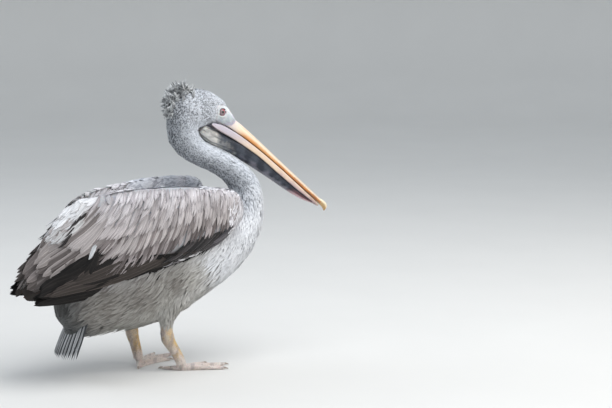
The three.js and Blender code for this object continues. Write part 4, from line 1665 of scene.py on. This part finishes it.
WING_PARTS = (
    WingPart(
        "flight_feathers", "flight_feather", "flight", (FLIGHT_ROW, SECONDARY_ROW), FLIGHT_VANE,
        FeatherFinish(
            "flight_feather", shaft=0.5, shaft_width=0.06, edge=1.2, root=0.9, barbs=150, relief=0.3,
            roughness=0.6, sheen=0.02,
        ),
        cells=7,
    ),
    WingPart(
        "covert_feathers", "wing_feather", "coverts",
        (HAND_ROW, *COVERT_ROWS, WHITE_COVERT, ALULA_ROW, MARGIN_ROW, *WHITE_ROWS, SLIT_ROW), COVERT_VANE,
        FeatherFinish(
            "covert_feather", shaft=0.34, shaft_width=0.22, edge=0.16, root=0.72, barbs=42, relief=0.28,
            roughness=0.72,
        ),
    ),
    WingPart(
        "scapular_feathers", "wing_feather", "tertials", SCAPULAR_ROWS, FLIGHT_VANE,
        FeatherFinish(
            "scapular_feather", shaft=0.4, shaft_width=0.12, edge=0.5, root=0.72, barbs=90, relief=0.3,
            roughness=0.66,
        ),
        cells=7,
    ),
)


@dataclass
class Wing:
    """One closed wing: rows of coverts over the long dark flight feathers."""

    side: str
    surface: Surface
    seed: int
    depth: float = 26.0  # how far in from its middle the wing's face still counts, before the far wing

    def on_wing(self, flat: Array) -> list[tuple[float, int] | None]:
        """Where lines from this side meet the wing at places of its side view, None where they miss it."""
        sign = SIDES[self.side]
        hits = [self.surface.from_side(x, z, sign) for x, z in flat]
        outs = [hit[0] * sign for hit in hits if hit]
        least = np.median(outs) - self.depth if outs else 0.0
        return [hit if hit and hit[0] * sign > least else None for hit in hits]

    def shafts(
        self, row: Row, rng: Random, stations: Sequence[float]
    ) -> tuple[Array, Array]:
        """Shafts that lie on the wing, told by a row in its side view.

        Args:
            row: the row.
            rng: the source of its small accidents.
            stations: shares of the length at which places are wanted.

        Returns:
            Places and normals at each station of each feather.
        """
        sign = SIDES[self.side]
        roots, tips = row.ends(rng)
        share = np.array(stations)
        places, ups = [], []
        for number, (root, tip) in enumerate(zip(roots, tips)):
            chord = tip - root
            bow = np.array([chord[1], -chord[0]]) * row.bow * rng.uniform(0.6, 1.4)
            flat = root + chord * share[:, None] + bow * (np.sin(math.pi * share) * -1)[:, None]
            hits = self.on_wing(flat)
            above = next((k for k, hit in enumerate(hits) if hit), None)
            if above:
                flat = flat[above] + (flat[-1] - flat[above]) * share[:, None]
                hits = self.on_wing(flat)
            known = np.array([k for k, hit in enumerate(hits) if hit], int)
            if len(known) < 2:
                continue
            out = np.array([hits[k][0] * sign for k in known])
            fit = np.polyfit(share[known], out, 2 if len(known) > 4 else 1)
            y = np.polyval(fit, np.clip(share, share[known].min(), share[known].max()))
            up = unit(np.mean([self.surface.normals[hits[k][1]] for k in known], axis=0))
            up = unit(up + [0, sign * 0.4, 0])
            level = row.lift[0] + (row.lift[1] - row.lift[0]) * share**0.7
            level = level + row.layer * number / max(row.count - 1, 1) + rng.uniform(-0.5, 0.5)
            place = np.stack([flat[:, 0], y * sign, flat[:, 1]], axis=1) + up * level[:, None]
            places.append(place)
            ups.append(np.tile(up, (len(share), 1)))
        return np.array(places), np.array(ups)

    def lay_row(self, net: Net, part: WingPart, row: Row, rng: Random, cell: int) -> int:
        """Adds one row of feathers.

        Args:
            net: what they are added to.
            part: the part of the wing that the row belongs to.
            row: the row.
            rng: the source of its small accidents.
            cell: the first free cell of the part's own bake map.

        Returns:
            The next free cell.
        """
        vane, cells = part.vane, part.cells
        paths, ups = self.shafts(row, rng, vane.stations)
        count = len(paths)
        tint = blend(row.light, row.dark, step(0.15, -0.15, rng.random(count) - row.share))
        tint = tint * rng.uniform(0.92, 1.06, (count, 1))
        tint = tint * (1 + waves(paths[:, -2], 70, 91, 2) * 0.07)[:, None]
        tints = np.repeat(tint[:, None, :], len(vane.stations), axis=1)
        widths = row.width * rng.uniform(0.9, 1.12, count)
        if cells:
            number = cell + np.arange(count)
            middles = np.stack([number % cells + 0.5, number // cells + 0.5], axis=1) / cells
            half = 0.46 / cells
            vane.lay(net, paths, ups, widths, tints, middles, rng, (half, half))
        else:
            _, _, faces = self.surface.nearest(paths[:, 1])
            vane.lay(net, paths, ups, widths, tints, self.surface.places[faces], rng)
        return cell + count

    def lay(self) -> None:
        """Makes the wing's pieces."""
        rng = np.random.default_rng([self.seed, 1])
        for part in WING_PARTS:
            net = Net()
            cell = 0
            for row in part.rows:
                cell = self.lay_row(net, part, row, rng, cell)
            finish = replace(part.finish, name=f"{part.finish.name}_{self.side}")
            piece = net.build(f"{part.name}_{self.side}", [finish.material()])
            present(piece, part.slot, f"wing_{self.side}_{part.node}")


@dataclass
class Tail:
    """The fan of tail feathers."""

    rows: Rows = (
        (-196, 190, 22, 6), (-221, 154, 42, 5), (-249, 104, 56, 3.6), (-272, 56, 66, 2.4),
    )
    count: int = 22
    width: float = 17.0
    sag: float = 12.0

    def lay(self) -> None:
        """Makes the tail."""
        rng = np.random.default_rng(61)
        vane = FLIGHT_VANE
        spine = curve(self.rows, len(vane.stations))
        way = unit(np.gradient(spine[:, :2], axis=0))
        up = np.stack([-way[:, 1], np.zeros(len(way)), way[:, 0]], axis=1)
        up *= np.sign(up[:, 2:3])
        paths = []
        for number in range(self.count):
            aside = 2 * number / (self.count - 1) - 1
            reach = 1 - 0.07 * abs(aside) ** 2 + rng.uniform(-0.015, 0.015)
            x = spine[0, 0] + (spine[:, 0] - spine[0, 0]) * reach
            z = spine[0, 1] + (spine[:, 1] - spine[0, 1]) * reach
            place = np.stack([x, spine[:, 2] * aside * 0.94, z], axis=1)
            level = spine[:, 3] * 0.3 + (1 - abs(aside)) * 4
            drop = self.sag * aside**2 * np.linspace(0.2, 1, len(spine))
            paths.append(place + up * (level - drop)[:, None])
        paths = np.array(paths)
        pale = np.arange(self.count) % 2
        tint = blend("3c3e40", "a2a3a5", pale) * rng.uniform(0.8, 1.1, (self.count, 1))
        tints = np.repeat(tint[:, None, :], len(vane.stations), axis=1)
        # darker towards the root: the tail's dark base, with painted shade under the coverts and wings
        root = (step(0.62, 0.4, np.array(vane.stations)) * 0.7)[None, :, None]
        tints = tints * (1 - root) + linear("2b2b2b") * root
        number = np.arange(self.count)
        middles = np.stack([number % 5 + 0.5, number // 5 + 0.5], axis=1) / 5
        ups = np.repeat(up[None], self.count, axis=0)
        net = Net()
        widths = self.width * rng.uniform(0.92, 1.08, self.count)
        vane.lay(net, paths, ups, widths, tints, middles, rng, (0.092, 0.092))
        finish = FeatherFinish(
            "tail_feather", shaft=1.3, shaft_width=0.12, edge=0.9, root=0.7, barbs=80, relief=0.3,
            roughness=0.65,
        )
        present(net.build("tail_feathers", [finish.material()]), "wing_feather", "tail")


@dataclass
class Crest:
    """The tuft of curly feathers on the nape."""

    surface: Surface
    count: int = 620
    seed: int = 71
    spine: Rows = (
        (84, 682), (68, 686), (54, 682), (42, 670), (34, 648), (33, 622),
    )
    knots: int = 50
    spread: float = 12.0  # how far the tuft reaches from the midline
    curl: float = 0.46

    def lay(self) -> None:
        """Makes the tuft."""
        rng = np.random.default_rng(self.seed)
        t = rng.random(self.count) ** 1.25
        at = curve(self.spine, self.knots)[(t * (self.knots - 1)).astype(int)]
        aside = rng.normal(scale=self.spread, size=self.count)
        wanted = np.stack([at[:, 0], aside, at[:, 1] - np.abs(aside) * 0.5], axis=1)
        wanted += rng.normal(scale=2.5, size=wanted.shape)
        roots, normals, faces = self.surface.nearest(wanted)
        stations = CREST_VANE.stations
        length = np.interp(t, [0, 0.2, 0.5, 1], [19, 35, 28, 15]) * rng.uniform(0.7, 1.15, self.count)
        mean = (-0.55 - 0.3 * t, 0.0, 1.0 - 1.7 * t)
        lean = unit(np.stack([part + 0.3 * rng.normal(size=self.count) for part in mean], axis=1))
        way = unit(normals * 0.35 + lean)
        curl = unit(rng.normal(size=(self.count, 3)) + [-0.7, 0, 0.3])
        here = roots - normals * 0.5
        places = [here]
        for before, after in zip(stations[:-1], stations[1:]):
            way = unit(way + curl * self.curl - normals * 0.1)
            here = here + way * (length * (after - before))[:, None]
            places.append(here)
        paths = np.stack(places, axis=1)
        ups = np.repeat(unit(normals + curl * 0.3)[:, None, :], len(stations), axis=1)
        tint = blend("e2e4e5", "a4a6a8", step(-0.2, 0.2, rng.random(self.count) - 0.55))
        tints = np.repeat(tint[:, None, :], len(stations), axis=1)
        # darker towards the root and lighter at the tip: the feathers' grey bases, with painted shade inside
        # the tuft
        tints = tints * np.linspace(0.35, 1.1, len(stations))[None, :, None]
        net = Net()
        widths = rng.uniform(4.6, 8.0, self.count)
        CREST_VANE.lay(net, paths, ups, widths, tints, self.surface.places[faces], rng)
        finish = FeatherFinish("crest_feather", shaft=0.15, root=0.7, barbs=16, relief=0.2, roughness=0.85)
        present(net.build("crest_tuft", [finish.material()]), "body_feather", "nape_crest")


@dataclass(frozen=True)
class HornFinish:
    """How horn looks: fine fibres along it, faint pits, dark freckles and a satin surface."""

    name: str
    fibres: float = 26.0
    freckles: float = 0.0
    roughness: float = 0.36
    coat: float = 0.15

    def material(self) -> bpy.types.Material:
        """The material of this finish."""
        shader = Shader(
            self.name, Subsurface_Weight=0.06, Subsurface_Scale=0.003, Coat_Weight=self.coat,
            Coat_Roughness=0.22,
        )
        around, along, _ = shader.quill()
        place = shader.place()
        fibre = shader.noise(shader.joined(around * self.fibres, along * 6.0, 0.0), 1.0, 5.0)
        cloud = shader.noise(place, 70.0, 4.0)
        pit = shader.cells(place, 900.0).ramp(0.0, 0.35)
        freckle = shader.noise(shader.stretched(place, (1.0, 1.6, 1.0)), 240.0, 2.0).ramp(0.6, 0.68)
        low = abs(around).ramp(0.55, 0.95) * along.ramp(2.5, 6.0)
        light = 0.8 + fibre * 0.24 + cloud * 0.16
        light = light * (1.0 - freckle * low * self.freckles)
        normal = shader.bump(fibre * 0.7 + pit * 0.3, 0.22, 0.8)
        rough = self.roughness + cloud * 0.16 + fibre * 0.08
        return shader.finish(Base_Color=shader.shade(shader.tint(), light), Roughness=rough, Normal=normal)


@dataclass
class Bill:
    """The long bill: the upper half with its culmen and hook, and the two arms of the lower half."""

    upper_rows: Rows = (
        (-44, 11, 46, 21), (-14, 6.5, 36, 20), (20, 3.6, 31, 18.5), (60, 2.6, 25.5, 17), (108, 2.6, 21.4, 16),
        (170, 2.8, 19.4, 16), (226, 2.8, 18.8, 17), (276, 2.6, 17.4, 18), (312, 2.3, 15.4, 16.5),
        (331, 1.7, 13.6, 12.5),
    )
    hook_rows: Rows = (
        (326, 2.2, 11.5, 10), (333, 0.6, 13, 10.8), (343, -1, 13, 9.5), (351, -0.8, 14, 8),
        (357, 1.2, 16, 5.8), (360, 5, 18, 3.4),
    )
    arm_rows: Rows = (
        (-56, 57, 63, 25, 3), (-42, 49, 62.5, 25.5, 6), (-26, 42.5, 60, 25, 6), (16, 33, 50.5, 22, 5.5),
        (60, 27.4, 43, 20, 5), (110, 23.4, 37, 18.5, 5), (180, 20.9, 34.4, 18, 5),
        (240, 20.2, 31.6, 17.5, 5), (286, 18.8, 27.4, 14.5, 5), (320, 17.2, 23, 8.5, 5),
        (336, 16.2, 20.6, 0, 5),
    )
    half_profile: Rows = (
        (0, 0), (0.2, 0.005), (0.38, 0.05), (0.47, 0.12), (0.51, 0.2), (0.57, 0.245), (0.68, 0.27),
        (0.8, 0.34), (0.91, 0.47), (0.985, 0.66), (1.0, 0.84), (0.965, 0.96), (0.9, 1.0), (0.82, 0.93),
        (0.62, 0.8), (0.3, 0.73),
    )

    def upper_tint(self, points: Array, s: Array, u: Array, v: Array) -> Array:
        """The colour of the upper half: cream culmen with a painted highlight along it, orange flanks with
        painted shade in the groove, brown lip and palate.

        Args:
            points: places on the bill.
            s: how far along the bill each is, in millimetres.
            u: how far across, -1 to 1.
            v: how low, 0 to 1.

        Returns:
            The linear colour of each place.
        """
        cloud = waves(points * [0.5, 1, 0.5], 22, 81)
        off = np.abs(u)
        tint = blend("f1e0c6", "e2a463", step(-5, 70, s) * step(0.36, 0.78, v))
        tint = over(tint, "e39a4d", step(18, 46, s) * step(100, 70, s) * step(0.5, 0.85, v) * 0.8)
        tint = over(tint, "c4762f", step(150, 215, s + cloud * 12) * step(0.46, 0.7, v) * 0.8)
        # the culmen's own cream, made paler as a painted highlight along the ridge
        culmen = step(0.56, 0.44, off) * step(0.6, 0.3, v)
        tint = over(tint, blend("ece0dc", "fdeed6", step(-20, 40, s)), culmen)
        tint = over(tint, "ddd0d6", step(24, -16, s) * 0.8)
        # painted shade in the groove beside the culmen
        groove_shade = step(0.1, 0.02, np.abs(off - 0.5)) * step(0.5, 0.3, v) * step(0, 40, s)
        tint = over(tint, "a9704a", groove_shade * 0.35)
        tint = over(tint, "a5622c", step(0.8, 0.95, v) * step(-10, 40, s) * 0.85)
        blotch = step(0.35, 0.9, cloud) * step(150, 250, s) * step(0.3, 0.6, v)
        tint = over(tint, "7d4f38", blotch * 0.35)
        return over(tint, "8a5a4c", step(0.86, 0.8, off) * step(0.7, 0.76, v))

    def upper(self, net: Net) -> None:
        """Adds the upper half."""
        rows = curve(self.upper_rows, 150)
        right = np.array(self.half_profile)
        profile = np.vstack([right, [(0, 0.71)], right[1:][::-1] * [-1, 1]])
        along, top, low, half = (rows[:, k : k + 1] for k in range(4))
        across, down = profile.T
        scallop = 1 + 0.012 * np.sin(along * 0.55) * step(0.8, 1.0, down) * step(60, 140, along)
        places = on_bill(along, top + (low - top) * down * scallop, -half * across)
        points, faces = tube(places)
        s = spread(along, across, [along[0, 0], along[-1, 0]])
        u = spread(across, along, [0, 0])
        v = spread(down, along, [0.5, 0.5])
        net.add(points, faces, self.upper_tint(points, s, u, v), np.stack([u, s / 30, v], axis=1))

    def rounded(self, rows: Array, side: float, power: float) -> tuple[Array, list[Array], Array, Array]:
        """A tube of a soft-cornered section.

        Args:
            rows: along, top drop, bottom drop, off the midline and half width of each ring.
            side: -1 for the right, 1 for the left.
            power: below 1 for squarer corners.

        Returns:
            Its points and faces, and at each point how far along it is and how low, -1 to 1.
        """
        turns = np.linspace(0, math.tau, 28, endpoint=False)
        wide, tall = squarish(turns, power)
        along, top, low, off, half = (rows[:, k : k + 1] for k in range(5))
        places = on_bill(along, (top + low) / 2 + tall * (low - top) / 2, side * off + wide * half)
        points, faces = tube(places)
        return points, faces, spread(along, tall, [rows[0, 0], rows[-1, 0]]), spread(tall, along, [0, 0])

    def hook(self, net: Net) -> None:
        """Adds the nail that hooks over the tip."""
        rows = np.insert(curve(self.hook_rows, 36), 3, 0, axis=1)
        points, faces, s, v = self.rounded(rows, 1, 0.85)
        tint = blend("fbefd4", "c39a5c", step(-0.5, 0.6, v) * 0.9 + step(352, 360, s) * 0.15)
        net.add(points, faces, tint, np.stack([v, s / 30, v], axis=1))

    def arms(self, net: Net) -> None:
        """Adds the two arms of the lower half."""
        rows = curve(self.arm_rows, 130)
        rows[:, 4] /= 2
        for side in SIDES.values():
            points, faces, s, v = self.rounded(rows, side, 0.7)
            cloud = waves(points * [0.5, 1, 0.5], 20, 83)
            tint = blend("cdc5d0", "f0d6bb", step(-20, 100, s) + v * 0.2)
            late = step(150, 230, s + cloud * 20) * step(-0.6, 0.4, v) * 0.85
            tint = over(tint, blend("cbb4bd", "bda2a6", v * 0.5 + 0.5), late)
            tint = over(tint, "8a6455", step(0.3, 0.9, cloud) * step(190, 280, s) * 0.4)
            # a darker rim, with painted shade along the arm's top and bottom edges: in the gap under the
            # upper half and along the pouch's seam
            tint = over(tint, "6a5458", step(0.7, 0.98, v) * 0.6 + step(-0.7, -0.98, v) * 0.4)
            net.add(points, faces, tint, np.stack([v * 0.6, s / 30, v], axis=1))

    def lay(self) -> None:
        """Makes the bill's pieces."""
        for name, add, freckles, node in (
            ("bill_upper", self.upper, 0.55, "upper_mandible"),
            ("bill_hook", self.hook, 0.1, "bill_nail"),
            ("bill_lower", self.arms, 0.5, "lower_mandible"),
        ):
            net = Net()
            add(net)
            finish = HornFinish(f"{name}_horn", freckles=freckles)
            present(net.build(name, [finish.material()], turned=True), "bill_horn", node)


@dataclass(frozen=True)
class EyeFinish:
    """How the eye looks: a dark pupil, a red-brown iris with rays and a wet clear front."""

    name: str = "eye_wet"
    pupil: float = 0.335  # as a share of the ball's radius, seen from the front
    iris: float = 0.82

    def material(self) -> bpy.types.Material:
        """The material of this finish."""
        shader = Shader(self.name, Coat_Weight=1.0, Coat_Roughness=0.03, Specular_IOR_Level=0.5)
        reach, turn, _ = shader.quill()
        ray = shader.noise(shader.joined(turn * 26.0, reach * 3.0, 0.0), 1.0, 4.0)
        colour = shader.mix(ray, rgba("7c686b"), rgba("a79598"))
        warm = (turn * math.tau + 0.4).math("COSINE").ramp(-0.3, 0.7)
        colour = shader.mix(warm * 0.9, colour, rgba("c4505a"))
        colour = shader.mix(reach.ramp(self.iris - 0.04, self.iris + 0.06), colour, rgba("4a3434"))
        colour = shader.mix(reach.ramp(self.pupil + 0.02, self.pupil - 0.01), colour, rgba("070606"))
        return shader.finish(Base_Color=colour, Roughness=0.25 + ray * 0.1)


@dataclass
class Eye:
    """One eyeball with its domed clear front."""

    side: str
    dome: float = 0.55  # how far the clear front stands out

    def lay(self) -> None:
        """Makes the eye."""
        sign = SIDES[self.side]
        middle = EYE_MIDDLE + [0, EYE_OUT * sign, 0]
        gaze = unit(np.array([0.1, sign, 0.04]))
        ahead = unit(np.cross(gaze, UP)) * sign
        up = np.cross(gaze, ahead) * sign
        polar = np.linspace(0.03, math.pi - 0.03, 44)[:, None]
        turns = np.linspace(0, math.tau, 48, endpoint=False)
        size = EYE_BALL + self.dome * np.exp(-((polar / 0.55) ** 4))
        out = size * np.sin(polar)
        rings = (
            middle
            + (size * np.cos(polar) + 0 * turns)[..., None] * gaze
            + (out * np.cos(turns))[..., None] * ahead
            + (out * np.sin(turns))[..., None] * up
        )
        points, faces = tube(rings)
        reach = spread(np.where(polar < math.pi / 2, np.sin(polar), 1.5), turns, [0, 1.5])
        turn = spread(turns / math.tau, polar, [0, 0])
        net = Net()
        net.add(points, faces, linear("6a4a44"), np.stack([reach, turn, 0 * turn], axis=1))
        finish = EyeFinish(f"eye_wet_{self.side}")
        piece = net.build(f"eyeball_{self.side}", [finish.material()], turned=True)
        present(piece, "eye", f"eye_{self.side}")


@dataclass(frozen=True)
class ClawFinish:
    """How the claws look: grey-brown horn, paler at the root."""

    name: str = "claw_horn"

    def material(self) -> bpy.types.Material:
        """The material of this finish."""
        shader = Shader(self.name, Coat_Weight=0.1, Coat_Roughness=0.3)
        place = shader.place()
        fibre = shader.noise(shader.stretched(place, (1.0, 4.0, 4.0)), 260.0, 4.0)
        colour = shader.mix(fibre.ramp(0.3, 0.7), rgba("8d8078"), rgba("c2b5a8"))
        return shader.finish(Base_Color=colour, Roughness=0.38 + fibre * 0.2, Normal=shader.bump(fibre, 0.2))


@dataclass
class Studio:
    """A pale floor that sweeps up into a backdrop, soft light and the camera."""

    place: tuple[float, float, float] = (-1.8483, -3.5292, 0.946)
    turn: float = math.radians(-32.1)
    tilt: float = math.radians(7.8)
    lens: float = 96.06

    def camera(self) -> None:
        """Sets the camera."""
        data = bpy.data.cameras.new("camera")
        data.lens = self.lens
        data.sensor_width = 36.0
        data.clip_end = 60.0
        camera = bpy.data.objects.new("camera", data)
        level = math.cos(self.tilt)
        gaze = Vector((-math.sin(self.turn) * level, math.cos(self.turn) * level, -math.sin(self.tilt)))
        camera.location = self.place
        camera.rotation_euler = gaze.to_track_quat("-Z", "Y").to_euler()
        bpy.context.scene.collection.objects.link(camera)
        bpy.context.scene.camera = camera

    def floor(self) -> None:
        """Makes the floor."""
        net = Net()
        radii = np.array([0.02, 400, 1200, 2600, 4600, 6500, 7400, 7800, 8000, 8050])
        rise = np.array([0, 0, 0, 0, 0, 60, 300, 800, 1800, 5200])
        turns = np.linspace(0, math.tau, 96, endpoint=False)
        flat = radii[:, None, None] * np.stack([np.cos(turns), np.sin(turns)], axis=-1)
        rings = np.concatenate([flat, rise[:, None, None] + 0 * flat[..., :1]], axis=-1)
        points, faces = tube(rings)
        net.add(points, faces[:2], linear("dfdedb"))
        shader = Shader("pale_floor", Specular_IOR_Level=0.2)
        grain = shader.noise(shader.place(), 3.0)
        colour = shader.shade(shader.tint(), 0.97 + grain * 0.05)
        material = shader.finish(Base_Color=colour, Roughness=0.75 + grain * 0.1)
        net.build("floor", [material])

    def lamp(
        self, name: str, place: tuple[float, float, float], size: float, power: float, colour: str
    ) -> None:
        """Adds a soft lamp that looks at the bird.

        Args:
            name: its name.
            place: where it is, in metres.
            size: how wide it is, in metres.
            power: its power in watts.
            colour: its colour, as hex digits.
        """
        data = bpy.data.lights.new(name, "AREA")
        data.shape = "DISK"
        data.size = size
        data.energy = power
        data.color = linear(colour)
        lamp = bpy.data.objects.new(name, data)
        lamp.location = place
        lamp.rotation_euler = (Vector((0, 0, 0.35)) - Vector(place)).to_track_quat("-Z", "Y").to_euler()
        bpy.context.scene.collection.objects.link(lamp)

    def light(self) -> None:
        """Lights the studio like a bright overcast day."""
        world = bpy.data.worlds.new("overcast")
        world.use_nodes = True
        sky = world.node_tree.nodes["Background"]
        sky.inputs["Color"].default_value = rgba("dfe8f2")
        sky.inputs["Strength"].default_value = 0.75
        bpy.context.scene.world = world
        self.lamp("sky", (0.6, -1.2, 3.6), 3.4, 105, "ffffff")
        self.lamp("front", (2.6, -2.6, 1.8), 2.0, 34, "fff6ec")
        self.lamp("back", (-2.4, 2.6, 2.4), 2.0, 26, "eef4ff")
        bpy.context.scene.view_settings.view_transform = "Standard"

    def build(self) -> None:
        """Sets the whole studio."""
        self.camera()
        self.floor()
        self.light()


def main() -> None:
    """Builds the bird piece by piece."""
    logging.basicConfig(level=logging.INFO, format="%(message)s")
    Studio().build()
    coat = CoatMap(BODY_GUIDES + neck_guides())
    face = BareFace()
    nodes = frame["nodes"]
    wings = Together([Surface(nodes[name].data) for name in WINGS])
    trunk = Surface(nodes["trunk"].data)
    skin = Skin(coat, face, wings, trunk).grow()
    feet = [f"foot_{side}" for side in SIDES]
    skin_nodes = FLESH + feet + ["gular_pouch"]
    present(skin, "leg_skin", *skin_nodes)
    surface = Surface(skin.data)
    Plumage(coat, face, surface, wings, trunk).lay()
    for number, side in enumerate(SIDES):
        Wing(side, surface, 90 + number).lay()
    Tail().lay()
    Crest(surface).lay()
    Bill().lay()
    claw = ClawFinish().material()
    for side in SIDES:
        Eye(side).lay()
        for toe in ("hind", "inner", "middle", "outer"):
            for holder in nodes[f"claw_{side}_{toe}"].material_slots:
                holder.material = claw


if __name__ == "__main__":
    main()
